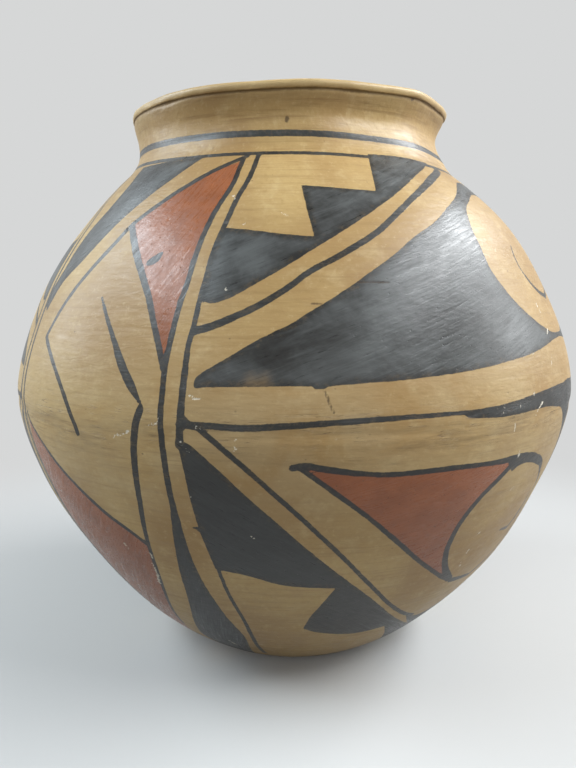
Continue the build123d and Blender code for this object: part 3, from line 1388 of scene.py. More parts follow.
class SlipMarks:
    """The noise and the masks that the slip's colour, gloss and relief are made from."""

    def __init__(self, net: Net, lip_foot: float, belly: float) -> None:
        """Reads the painted marks and makes the noise.

        Args:
            net: Where it is wired.
            lip_foot: Wall length at which the lip starts.
            belly: Wall length of the belly.
        """
        around = net.attribute("round_wall", "Vector")
        stroke = net.attribute("stroke", "Vector")
        up_wall = net.value("ShaderNodeSeparateXYZ", "Z", None, {"Vector": around})
        self._noises(net, around, stroke)
        self._painted({paint: net.attribute(paint.value) for paint in Paint})
        self._worn(SlipZones(), up_wall, lip_foot, belly)

    def _noises(self, net: Net, around: Value, stroke: Value) -> None:
        """Makes the noise.

        Args:
            net: Where it is wired.
            around: Places round and up the wall.
            stroke: Places along and across the brush strokes.
        """
        self.grain = net.noise(around, Cloud(0.95, 3.0, 0.65))
        self.mottle = net.noise(around, Cloud(0.34, 5.0, 0.72))
        self.wobble = net.noise(around, Cloud(0.22, 3.0, 0.6))
        self.blotch = net.noise(around, Cloud(0.07, 4.0, 0.64))
        self.haze = net.noise(around, Cloud(0.028, 5.0, 0.66, 0.5))
        self.clouds = net.noise(around, Cloud(0.012, 2.0, 0.5, 0.3))
        self.rub_around = net.noise(around, Cloud((0.055, 0.055, 0.7), 3.0, 0.62, 0.2))
        self.ripple = net.noise(around, Cloud((0.13, 0.13, 0.28), 2.0, 0.5, 0.3))
        self.wipe = net.noise(around, Cloud((0.014, 0.014, 0.36), 4.0, 0.66, 0.2))
        self.hair = net.noise(around, Cloud((0.014, 0.014, 0.34), 3.0, 0.65, 0.35))
        self.smear = net.noise(around, Cloud((0.02, 0.02, 0.12), 4.0, 0.66, 0.4))
        self.sweep = net.noise(stroke, Cloud((0.014, 0.085, 1.0), 5.0, 0.66, 0.9))
        self.rub_stroke = net.noise(stroke, Cloud((0.045, 0.5, 1.0), 4.0, 0.68, 0.35))
        self.fine_stroke = net.noise(stroke, Cloud((0.1, 1.7, 1.0), 3.0, 0.62))
        self.pits = net.cells(around, 0.3).rise(0.16, 0.06) * self.mottle.rise(0.4, 0.55)
        self.specks = net.cells(around, 0.12).rise(0.075, 0.03) * self.blotch.rise(0.42, 0.56)

    def _painted(self, gap: dict[Paint, Value]) -> None:
        """Makes the masks of the paint and of what has come off it.

        Args:
            gap: Distance inside the nearest edge of each paint.
        """
        edge = self.wobble.swing(0.9) + self.grain.swing(0.4)
        self.black = (gap[Paint.BLACK] + edge).rise(-0.2, 0.25)
        self.red = (gap[Paint.RED] + edge).rise(-0.3, 0.4)
        self.cover = self.black.larger(self.red)
        broad = gap[Paint.BLACK] + self.wobble.swing(4.0) + self.blotch.swing(5.0)
        self.broad = broad.rise(0.6, 4.2)
        chip = gap[Paint.CHIP] + (self.grain - 0.52) * 3.2 + self.wobble.swing(2.6)
        self.chip = chip.rise(-0.1, 0.3)
        rubbed = gap[Paint.WORN] + self.blotch.swing(9.0) + self.rub_stroke.swing(6.0)
        self.worn = rubbed.rise(-5.0, 4.0) * 0.38
        self.scratch = (gap[Paint.CRACK] + self.grain.swing(0.6)).rise(-0.8, 0.15)

    def _worn(self, zones: SlipZones, up_wall: Value, lip_foot: float, belly: float) -> None:
        """Makes the masks of wear, cracks and dirt, and of painted shade and painted sheen.

        Args:
            zones: Where they lie.
            up_wall: Length up the wall.
            lip_foot: Wall length at which the lip starts.
            belly: Wall length of the belly.
        """
        self.lip = (up_wall - lip_foot).rise(*zones.lip)
        self.neck = (up_wall - lip_foot).rise(*zones.neck)
        # Painted shade: a soft band under the lip and a dark line in its groove, where some dirt also
        # lies
        under_lip = up_wall + self.wobble.swing(1.2) - lip_foot
        below = under_lip.rise(*zones.groove_top)
        self.groove_dirt_and_shade = under_lip.rise(*zones.groove_dirt_and_shade) * below
        self.lip_shade = under_lip.rise(*zones.lip_shade) * below
        keel = abs(up_wall - belly).rise(*zones.keel)
        split = abs(self.hair - 0.5).rise(0.012, 0.003) * keel * self.blotch.rise(0.44, 0.58)
        self.crack = (self.scratch * 0.75).larger(split * 0.5)
        belt = abs(up_wall + zones.belt_drop - belly).rise(*zones.belt)
        rubbed = 0.45 * self.rub_around.rise(0.5, 0.72) * self.blotch.rise(0.36, 0.6)
        self.grime = belt * (0.55 * self.smear.rise(0.5, 0.72) + rubbed)
        # Pale grey band round the belly: wear from handling together with painted sheen
        handled_wear_and_sheen = abs(up_wall + zones.handled_drop - belly).rise(*zones.handled_wear_and_sheen)
        self.handled_wear_and_sheen = handled_wear_and_sheen * self.haze.rise(0.3, 0.62)
        # Above the belly, where painted sheen greys the black paint
        self.shoulder = (up_wall - belly).rise(*zones.shoulder)
        self.foot = (up_wall + self.blotch.swing(zones.foot_swing)).rise(*zones.foot)


@dataclass(frozen=True)
class SlipFinish:
    """The outside: polished tan slip with black and red paint, worn and scuffed."""

    lip_foot: float
    belly: float
    tan: Tone = colour(186, 157, 105)
    tan_pale: Tone = colour(208, 185, 140)
    tan_brown: Tone = colour(158, 126, 79)
    tan_dark: Tone = colour(134, 104, 62)
    # Grey of wear round the belly, also standing for painted sheen
    tan_grey: Tone = colour(184, 164, 126)
    black: Tone = colour(26, 27, 27)
    # Grey of dust and brush streaks on the black paint, also standing for painted sheen
    black_grey: Tone = colour(102, 105, 105)
    red: Tone = colour(150, 87, 53)
    red_deep: Tone = colour(114, 60, 34)
    red_pale: Tone = colour(170, 105, 68)
    chip: Tone = colour(224, 216, 198)
    # Dark brown of soot, specks and cracks, also used for painted shade under the lip
    soot_and_shade: Tone = colour(60, 43, 27)
    slip_rough: float = 0.45
    paint_rough: float = 0.38
    least_rough: float = 0.27
    relief_strength: float = 0.85
    specular: float = 0.42

    def _tan(self, net: Net, marks: SlipMarks) -> Value:
        """The colour of the slip: clouded, rubbed, speckled and dirty, greyed round the belly by wear
        and painted sheen.
        """
        return net.layered(
            self.tan_brown,
            (marks.clouds.rise(0.3, 0.7), self.tan),
            (marks.blotch.rise(0.5, 0.76) * 0.4, self.tan_pale),
            (marks.mottle.rise(0.5, 0.78) * 0.55, self.tan_brown),
            (marks.mottle.rise(0.47, 0.25) * 0.4, self.tan_pale),
            (marks.rub_around.rise(0.48, 0.78) * 0.5, self.tan_brown),
            (marks.blotch.rise(0.46, 0.24) * 0.4, self.tan_brown),
            (marks.wipe.rise(0.46, 0.74) * (0.33 + 0.37 * marks.neck), self.tan_dark),
            (marks.grain.rise(0.6, 0.9) * 0.3, self.soot_and_shade),
            (marks.specks * 0.6, self.soot_and_shade),
            # Wear and painted sheen round the belly
            (marks.handled_wear_and_sheen * 0.4, self.tan_grey),
            (marks.grime * 0.6, self.soot_and_shade),
        )

    def _dark(self, net: Net, marks: SlipMarks) -> Value:
        """The colour of the black paint: streaked by the brush, with dust and painted sheen that grey
        it most on the shoulder.

        Args:
            net: Where it is wired.
            marks: The noise and the masks.

        Returns:
            The colour.
        """
        # Grey haze and brush sweeps, partly dust and streaks, partly painted sheen, strongest on the
        # shoulder
        dust_and_sheen = marks.haze.rise(0.26, 0.7) * (0.1 + 0.55 * marks.shoulder)
        dust_and_sheen = dust_and_sheen * (0.35 + 0.65 * marks.broad)
        swept_streaks_and_sheen = marks.sweep.rise(0.45, 0.8) * marks.broad * (0.1 + 0.45 * marks.shoulder)
        return net.layered(
            self.black,
            (dust_and_sheen, self.black_grey),
            (swept_streaks_and_sheen, self.black_grey),
            (marks.rub_stroke.rise(0.4, 0.8) * (0.12 + 0.3 * dust_and_sheen), self.black_grey),
            (marks.worn, self.tan_brown),
        )

    def _brick(self, net: Net, marks: SlipMarks) -> Value:
        """The colour of the red paint: mottled, streaked and pitted."""
        return net.layered(
            self.red,
            (marks.blotch.rise(0.35, 0.7) * 0.5, self.red_deep),
            (marks.rub_stroke.rise(0.5, 0.85) * 0.45, self.red_deep),
            (marks.mottle.rise(0.5, 0.78) * 0.35, self.red_deep),
            (marks.mottle.rise(0.46, 0.25) * 0.5, self.red_pale),
            (marks.pits * 0.6, self.soot_and_shade),
        )

    def _skin(self, net: Net, marks: SlipMarks) -> Value:
        """The colour: tan slip, red and black over it, then wear, cracks, dirt and painted shade
        under the lip.
        """
        dry = 0.025 * marks.grain + 0.16 * (1.0 - marks.broad) * marks.mottle.rise(0.46, 0.72)
        return net.layered(
            self._tan(net, marks),
            (marks.red * 0.96, self._brick(net, marks)),
            (marks.black * (1.0 - dry), self._dark(net, marks)),
            (marks.chip * 0.85, self.chip),
            (marks.lip * 0.35, self.tan_pale),
            # Painted shade under the lip, then painted shade with some dirt in the groove below it
            (marks.lip_shade * 0.22, self.soot_and_shade),
            (marks.groove_dirt_and_shade * 0.5, self.soot_and_shade),
            (marks.crack, self.soot_and_shade),
            (marks.foot * 0.6, self.tan_brown),
        )

    def _rough(self, marks: SlipMarks) -> Value:
        """How dull the surface is: burnished, with streaks along the polishing strokes.

        Args:
            marks: The noise and the masks.

        Returns:
            The roughness.
        """
        slip = self.slip_rough + marks.rub_around.swing(0.2) + marks.blotch.swing(0.16)
        slip = slip + marks.ripple.swing(0.2)
        paint = self.paint_rough + marks.rub_stroke.swing(0.56) + marks.fine_stroke.swing(0.4)
        red = marks.red * (marks.mottle.swing(0.5) + 0.3 * marks.pits - 0.06)
        paint = paint.larger(self.least_rough) + red * (1.0 - marks.black)
        rough = slip * (1.0 - marks.cover) + paint * marks.cover
        return rough + marks.chip * 0.4 + marks.groove_dirt_and_shade * 0.3

    @staticmethod
    def _relief(marks: SlipMarks) -> Value:
        """How the surface stands out.

        Args:
            marks: The noise and the masks.

        Returns:
            The height in millimetres.
        """
        slip = marks.rub_around.swing(0.06) + marks.mottle.swing(0.05)
        paint = marks.rub_stroke.swing(0.2) + marks.fine_stroke.swing(0.05) - 0.08 * marks.pits
        relief = slip * (1.0 - marks.cover) + paint * marks.cover + marks.grain.swing(0.02)
        relief = relief + marks.ripple.swing(0.32) * (1.0 - 0.5 * marks.cover)
        relief = relief + 0.012 * marks.black - 0.12 * marks.chip
        return relief - 0.2 * marks.crack - 0.06 * marks.specks

    def material(self) -> bpy.types.Material:
        """Builds the finish.

        Returns:
            Its material.
        """
        finish = Finish("painted_slip", self.specular)
        marks = SlipMarks(finish.net, self.lip_foot, self.belly)
        skin = self._skin(finish.net, marks)
        return finish.coat(skin, self._rough(marks), self._relief(marks), self.relief_strength)


@dataclass(frozen=True)
class InsideFinish:
    """The inside: scraped clay, with slip drawn a little way over the lip."""

    clay: Tone = colour(146, 114, 76)
    clay_dark: Tone = colour(106, 80, 52)
    slip: Tone = colour(182, 150, 98)
    slip_edge: Ramp = (19.0, 13.0)
    slip_swing: float = 16.0
    blotch: Cloud = Cloud(0.05, 3.0, 0.6)
    scrape: Cloud = Cloud((0.03, 0.03, 0.5), 4.0, 0.65)
    grain: Cloud = Cloud(0.8, 3.0, 0.6)
    clay_rough: float = 0.82
    slip_gloss: float = 0.34
    relief_strength: float = 0.9
    specular: float = 0.4

    def material(self) -> bpy.types.Material:
        """Builds the finish.

        Returns:
            Its material.
        """
        finish = Finish("scraped_inside", self.specular)
        net = finish.net
        around = net.attribute("round_wall", "Vector")
        blotch = net.noise(around, self.blotch)
        scrape = net.noise(around, self.scrape)
        grain = net.noise(around, self.grain)
        slip = (net.attribute("below_rim") + blotch.swing(self.slip_swing)).rise(*self.slip_edge)
        skin = net.layered(
            self.clay,
            (blotch.rise(0.35, 0.7), self.clay_dark),
            (scrape.rise(0.5, 0.8) * 0.5, self.clay_dark),
            (slip, self.slip),
        )
        rough = self.clay_rough - slip * self.slip_gloss + grain.swing(0.1)
        return finish.coat(skin, rough, scrape.swing(0.25) + grain.swing(0.08), self.relief_strength)


@dataclass(frozen=True)
class FootFinish:
    """The underside: bare clay, rubbed pale where the jar has stood, in metres from its middle."""

    clay: Tone = colour(150, 114, 76)
    clay_pale: Tone = colour(184, 154, 112)
    clay_dark: Tone = colour(96, 70, 48)
    stand: Ramp = (0.046, 0.064)
    stand_swing: float = 0.02
    blotch: Cloud = Cloud(26.0, 4.0, 0.6)
    mottle: Cloud = Cloud(140.0, 4.0, 0.65)
    grain: Cloud = Cloud(700.0, 3.0, 0.6)
    pit_cells: float = 260.0
    clay_rough: float = 0.88
    stand_gloss: float = 0.2
    relief_strength: float = 0.8
    specular: float = 0.4

    def material(self) -> bpy.types.Material:
        """Builds the finish.

        Returns:
            Its material.
        """
        finish = Finish("worn_foot", self.specular)
        net = finish.net
        place = net.value("ShaderNodeTexCoord", "Object")
        blotch = net.noise(place, self.blotch)
        mottle = net.noise(place, self.mottle)
        grain = net.noise(place, self.grain)
        pits = net.cells(place, self.pit_cells).rise(0.2, 0.08) * mottle.rise(0.4, 0.6)
        worn = (net.distance(place) + blotch.swing(self.stand_swing)).rise(*self.stand)
        skin = net.layered(
            self.clay,
            (blotch.rise(0.3, 0.7) * 0.4, self.clay_dark),
            (mottle.rise(0.45, 0.75) * 0.4, self.clay_pale),
            (worn * (0.4 + 0.5 * mottle), self.clay_pale),
            (grain.rise(0.55, 0.85) * 0.45, self.clay_dark),
            (pits * 0.6, self.clay_dark),
        )
        rough = self.clay_rough - self.stand_gloss * worn
        relief = 0.3 * grain + 0.15 * mottle - 0.3 * pits
        return finish.coat(skin, rough, relief, self.relief_strength)


@dataclass(frozen=True)
class ClayMaterials:
    """The finishes of one jar, by the zone that they cover."""

    outside: bpy.types.Material
    inside: bpy.types.Material
    underside: bpy.types.Material


class RingTurner:
    """Geometry Nodes tree that turns a section line about the upright axis into a ring."""

    INPUTS = {
        "Section": "NodeSocketObject",
        "Segments": "NodeSocketInt",
        "Rows": "NodeSocketInt",
        "Closed": "NodeSocketBool",
        "Underside Rows": "NodeSocketInt",
        "Outside Rows": "NodeSocketInt",
        "Inside Start": "NodeSocketInt",
        "Inside Rows": "NodeSocketInt",
        "Outside Finish": "NodeSocketMaterial",
        "Inside Finish": "NodeSocketMaterial",
        "Underside Finish": "NodeSocketMaterial",
    }
    MERGE_DISTANCE = 2e-6

    def __init__(self) -> None:
        """Builds the tree once for all the rings."""
        self.tree = bpy.data.node_groups.new("ring_turner", "GeometryNodeTree")
        self._socket("Geometry", "INPUT", "NodeSocketGeometry")
        self.identifiers = {
            name: self._socket(name, "INPUT", kind) for name, kind in self.INPUTS.items()
        }
        self._socket("Geometry", "OUTPUT", "NodeSocketGeometry")
        self._wire()

    def _socket(self, name: str, side: str, kind: str) -> str:
        """Adds an input or output to the tree and gives its identifier."""
        made = self.tree.interface.new_socket(name=name, in_out=side, socket_type=kind)
        return made.identifier

    def _wire(self) -> None:
        """Adds the nodes and their links."""
        net = Net(self.tree)
        given = net.node("NodeGroupInput")
        wanted = {name: Value(net, given.outputs[name]) for name in self.INPUTS}
        shown, row = self._spun(net, wanted)
        on_last = row > wanted["Rows"] - 1.5
        wrapped = row * (1.0 - wanted["Closed"] * on_last)
        named = {"data_type": "INT"}
        zone = net.value("GeometryNodeInputNamedAttribute", "Attribute", named, {"Name": "zone"})
        inside, under = (abs(zone - float(z.value)) < 0.5 for z in (Zone.INSIDE, Zone.UNDERSIDE))
        for kind, settings, inputs in (
            ("StoreNamedAttribute", {"data_type": "FLOAT", "domain": "POINT"},
             {"Name": "section_row", "Value": wrapped}),
            ("StoreNamedAttribute", {"data_type": "INT", "domain": "FACE"},
             {"Name": "zone", "Value": self._face_zone(net, wanted)}),
            ("MergeByDistance", {}, {"Distance": self.MERGE_DISTANCE}),
            ("SetShadeSmooth", {}, {}),
            ("RealizeInstances", {}, {}),
            ("SetMaterial", {}, {"Material": wanted["Outside Finish"]}),
            ("SetMaterial", {}, {"Material": wanted["Inside Finish"], "Selection": inside}),
            ("SetMaterial", {}, {"Material": wanted["Underside Finish"], "Selection": under}),
        ):
            made = net.node(f"GeometryNode{kind}", settings, {"Geometry": shown, **inputs})
            shown = made.outputs["Geometry"]
        net.node("NodeGroupOutput", None, {"Geometry": shown})

    @staticmethod
    def _spun(net: Net, wanted: dict[str, Value]) -> tuple[bpy.types.NodeSocket, Value]:
        """Lays a grid round the axis, one column of points to each turn.

        Args:
            net: Where it is wired.
            wanted: The tree's inputs.

        Returns:
            The turned grid, and the row of each of its points.
        """
        section = net.node("GeometryNodeObjectInfo", None, {"Object": wanted["Section"]})
        counts = {"Vertices X": wanted["Segments"] + 1.0, "Vertices Y": wanted["Rows"]}
        grid = net.node("GeometryNodeMeshGrid", None, counts)
        index = net.value("GeometryNodeInputIndex", 0)
        row = index % wanted["Rows"]
        turn = (index / wanted["Rows"]).floor() / wanted["Segments"] * FULL_TURN
        here = net.value("GeometryNodeInputPosition", 0)
        kind = {"data_type": "FLOAT_VECTOR", "domain": "POINT"}
        source = {"Geometry": section.outputs["Geometry"], "Index": row, "Value": here}
        read = net.value("GeometryNodeSampleIndex", "Value", kind, source)
        parts = net.node("ShaderNodeSeparateXYZ", None, {"Vector": read})
        radius, height = Value(net, parts.outputs["X"]), Value(net, parts.outputs["Z"])
        axes = {"X": radius * turn.sine(), "Y": radius * turn.cosine() * -1.0, "Z": height}
        spun = net.value("ShaderNodeCombineXYZ", "Vector", None, axes)
        moved = {"Geometry": grid.outputs["Mesh"], "Position": spun}
        placed = net.node("GeometryNodeSetPosition", None, moved)
        return placed.outputs["Geometry"], row

    @staticmethod
    def _face_zone(net: Net, wanted: dict[str, Value]) -> Value:
        """The zone of each face from its place in the grid, which has one row of faces fewer.

        Args:
            net: Where it is wired.
            wanted: The tree's inputs.

        Returns:
            The zone's number.
        """
        index = net.value("GeometryNodeInputIndex", 0)
        row = index % (wanted["Rows"] - 1.0) + 0.5
        underside = row < wanted["Underside Rows"]
        outside = (row < wanted["Outside Rows"]) - underside
        inside = (row > wanted["Inside Start"]) * (row < wanted["Inside Rows"])
        seam = 1.0 - underside - outside - inside
        zone = outside * float(Zone.OUTSIDE.value) + seam * float(Zone.SEAM.value)
        return zone + inside * float(Zone.INSIDE.value) + underside * float(Zone.UNDERSIDE.value)

    def turn(self, name: str, section: Array, settings: dict) -> bpy.types.Object:
        """Turns one section into a ring.

        Args:
            name: Name of the piece.
            section: Radii and heights of the section line in mm.
            settings: The tree's inputs by name, without the section.

        Returns:
            The piece as a plain mesh.
        """
        flat = bpy.data.meshes.new(f"{name}_section")
        flat.from_pydata([(r * MM, 0.0, z * MM) for r, z in section],
                         [(i, i + 1) for i in range(len(section) - 1)], [])
        guide = bpy.data.objects.new(f"{name}_section", flat)
        piece = bpy.data.objects.new(name, bpy.data.meshes.new(name))
        for made in (guide, piece):
            bpy.context.scene.collection.objects.link(made)
        maker = piece.modifiers.new("turner", "NODES")
        maker.node_group = self.tree
        for wanted, given in {"Section": guide, "Rows": len(section), **settings}.items():
            maker[self.identifiers[wanted]] = given
        bpy.context.view_layer.update()
        graph = bpy.context.evaluated_depsgraph_get()
        mesh = bpy.data.meshes.new_from_object(piece.evaluated_get(graph))
        piece.modifiers.clear()
        empty = piece.data
        piece.data = mesh
        mesh.name = name
        bpy.data.meshes.remove(empty)
        bpy.data.objects.remove(guide)
        bpy.data.meshes.remove(flat)
        return piece


def numbers(items: bpy.types.bpy_prop_collection, name: str, kind: type, width: int = 1) -> Array:
    """Reads one property of all the items of a collection.

    Args:
        items: The collection.
        name: The property's name.
        kind: Type of its numbers.
        width: How many numbers each item has.

    Returns:
        One number or one row of numbers to each item.
    """
    read = np.empty(len(items) * width, kind)
    items.foreach_get(name, read)
    return read if width == 1 else read.reshape(-1, width)


class SectionRows(NamedTuple):
    """The rows of points of a ring's section, in order round it, and where its zones end."""

    radius: Array
    height: Array
    outside_length: Array
    inside_length: Array
    underside: int
    outside: int
    inside_start: int
    inside_end: int


@dataclass
class RingMesh:
    """A turned ring's mesh, with what the tree kept on it and where its faces' corners are."""

    ROW_SLACK = 0.25

    mesh: bpy.types.Mesh
    rows: SectionRows
    row: Array = field(init=False)
    turn: Array = field(init=False)
    corners: Array = field(init=False)
    face: Array = field(init=False)
    zone: Array = field(init=False)

    def __post_init__(self) -> None:
        """Reads each vertex's row and turn, each corner's vertex and face and each face's zone."""
        mesh = self.mesh
        row = numbers(mesh.attributes["section_row"].data, "value", np.float32)
        # A point merged from two rows lies halfway between them and counts as the lower one
        self.row = np.floor(row + self.ROW_SLACK).astype(int)
        places = numbers(mesh.vertices, "co", np.float32, 3).astype(float) / MM
        self.turn = np.arctan2(places[:, 0], -places[:, 1])
        self.corners = numbers(mesh.loops, "vertex_index", np.int32)
        sizes = numbers(mesh.polygons, "loop_total", np.int32)
        self.face = np.repeat(np.arange(len(sizes)), sizes)
        self.zone = numbers(mesh.attributes["zone"].data, "value", np.int32)
        for name in ("section_row", "zone"):
            mesh.attributes.remove(mesh.attributes[name])

    def keep(self, name: str, kind: str, values: Array) -> None:
        """Keeps a number or a vector at each vertex under a name."""
        layer = self.mesh.attributes.new(name, kind, "POINT")
        part = "value" if kind == "FLOAT" else "vector"
        layer.data.foreach_set(part, values.astype(np.float32).ravel())


@dataclass
class CoilRing:
    """One coil of the jar's wall, or its base dish or lip, dressed to stand for its CAD node.

    Lengths are in mm. The bottom and the top are lengths up the outside and up the inside.
    A ring with a pole is closed underneath.
    """

    node: str
    outer: Profile
    inner: Profile
    bottom: tuple[float, float]
    top: tuple[float, float]
    shape: HandShape
    pole: bool = False
    row_step: float = 1.4
    inner_step: float = 4.0
    segments: int = 900
    least_rows: tuple[int, int] = (4, 3)
    underside_rows: int = 24
    bake_strips: int = 5
    bake_hidden: float = 0.3
    bake_seam: float = 0.02
    bake_margin: float = 0.012

    def rows(self) -> SectionRows:
        """Lays out the section: up the outside, over the seam, down the inside and back.

        Returns:
            The rows.
        """
        low_out, low_in = self.bottom
        high_out, high_in = self.top
        up_least, down_least = self.least_rows
        up_count = max(up_least, round((high_out - low_out) / self.row_step) + 1)
        down_count = max(down_least, round((high_in - low_in) / self.inner_step) + 1)
        up = np.linspace(low_out, high_out, up_count)
        down = np.linspace(high_in, low_in, down_count)
        stretches = [
            (*self.outer.at(up), up, np.full(up_count, NOWHERE)),
            (*self.inner.at(down), np.full(down_count, NOWHERE), down),
        ]
        under = self.underside_rows if self.pole else 0
        if self.pole:
            flat = np.linspace(0.0, stretches[0][0][0], under, endpoint=False)
            nothing = np.zeros(under)
            stretches.insert(0, (flat, nothing, nothing, np.full(under, NOWHERE)))
        else:
            stretches.append(tuple(column[:1] for column in stretches[0]))
        columns = [np.concatenate(column) for column in zip(*stretches)]
        inside_start = under + up_count
        ends = (under, inside_start - 1, inside_start, inside_start + down_count - 1)
        return SectionRows(*columns, *ends)

    def build(self, turner: RingTurner, materials: ClayMaterials) -> bpy.types.Object:
        """Turns the ring.

        Args:
            turner: The tree that turns sections.
            materials: The finishes.

        Returns:
            The piece, still truly round.
        """
        rows = self.rows()
        settings = {
            "Segments": self.segments,
            "Closed": not self.pole,
            "Underside Rows": rows.underside,
            "Outside Rows": rows.outside,
            "Inside Start": rows.inside_start,
            "Inside Rows": rows.inside_end,
            "Outside Finish": materials.outside,
            "Inside Finish": materials.inside,
            "Underside Finish": materials.underside,
        }
        section = np.stack([rows.radius, rows.height], 1)
        return turner.turn(f"{self.node}_shell", section, settings)

    def dress(self, piece: bpy.types.Object, design: PaintedDesign) -> None:
        """Shapes the ring as a hand would, paints it and hands it to the frame.

        Args:
            piece: The ring as it was turned.
            design: The painted pattern.
        """
        ring = RingMesh(piece.data, self.rows())
        radius, height = ring.rows.radius[ring.row], ring.rows.height[ring.row]
        shaped = self.shape.place(ring.turn, radius, height) * MM
        ring.mesh.vertices.foreach_set("co", shaped.astype(np.float32).ravel())
        ring.mesh.update()
        self._face(ring)
        self._paint(ring, design)
        self._unwrap(ring)
        ring.mesh.update()
        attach(piece, BODY)
        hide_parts(self.node)

    def _face(self, ring: RingMesh) -> None:
        """Faces the ring as one unbroken surface with its neighbours.

        Args:
            ring: The shaped ring.
        """
        facing = numbers(ring.mesh.polygons, "normal", np.float32, 3)[ring.face].astype(float)
        for side, line, lengths, inwards in (
            (Zone.OUTSIDE, self.outer, ring.rows.outside_length, False),
            (Zone.INSIDE, self.inner, ring.rows.inside_length, True),
        ):
            chosen = np.flatnonzero(ring.zone[ring.face] == side.value)
            vertex = ring.corners[chosen]
            length = lengths[ring.row[vertex]]
            facing[chosen] = self.shape.normal(ring.turn[vertex], line, length, inwards)
        ring.mesh.normals_split_custom_set(facing.tolist())

    def _paint(self, ring: RingMesh, design: PaintedDesign) -> None:
        """Keeps the painted distances and the places that patterns read on the mesh.

        Args:
            ring: The shaped ring.
            design: The painted pattern.
        """
        rows, row, turn = ring.rows, ring.row, ring.turn
        along = np.where(rows.outside_length >= 0.0, rows.outside_length, rows.inside_length)[row]
        kept, strokes = design.read(WallPlaces(turn, along, rows.radius[row]))
        for paint, gaps in kept.items():
            ring.keep(paint.value, "FLOAT", gaps)
        ring.keep("below_rim", "FLOAT", self.inner.points[:, 1].max() - rows.height[row])
        east, north = PATTERN_RADIUS * np.sin(turn), -PATTERN_RADIUS * np.cos(turn)
        ring.keep("round_wall", "FLOAT_VECTOR", np.stack([east, north, along], 1))
        ring.keep("stroke", "FLOAT_VECTOR", strokes)

    def _unwrap(self, ring: RingMesh) -> None:
        """Unrolls the ring into strips that lie one above another, the outside largest.

        Args:
            ring: The shaped ring.
        """
        rows, face = ring.rows, ring.face
        step = np.hypot(np.diff(rows.radius), np.diff(rows.height))
        travel = np.concatenate([[0.0], np.cumsum(step)])
        last_row = len(travel) - 1
        corner_row, corner_turn = ring.row[ring.corners], ring.turn[ring.corners]
        if not self.pole:
            top_row = np.zeros(len(ring.zone), int)
            np.maximum.at(top_row, face, corner_row)
            on_last = (corner_row == 0) & (top_row[face] > 1)
            corner_row = np.where(on_last, last_row, corner_row)
        facing = np.arctan2(
            np.bincount(face, np.sin(corner_turn)),
            np.bincount(face, np.cos(corner_turn)),
        )
        part = (facing / FULL_TURN) % 1.0 * self.bake_strips
        strip = np.minimum(part.astype(int), self.bake_strips - 1)
        swing = (corner_turn - facing[face] + math.pi) % FULL_TURN - math.pi
        across = (part - strip)[face] + swing / FULL_TURN * self.bake_strips
        zone_rows = [0, rows.underside, rows.outside, rows.inside_start, rows.inside_end, last_row]
        edges = travel[zone_rows]
        under = self.bake_hidden if self.pole else 0.0
        shares = np.array([under, 1.0, self.bake_seam, self.bake_hidden, self.bake_seam])
        shares *= np.diff(edges)
        starts = np.concatenate([[0.0], np.cumsum(shares)]) / shares.sum()
        height = np.interp(travel[corner_row], edges, starts)
        free = 1.0 - 2.0 * self.bake_margin
        u = self.bake_margin + across * free
        v = (strip[face] + self.bake_margin + height * free) / self.bake_strips
        layer = ring.mesh.uv_layers.new(name="OFBake")
        layer.data.foreach_set("uv", np.stack([u, v], 1).astype(np.float32).ravel())


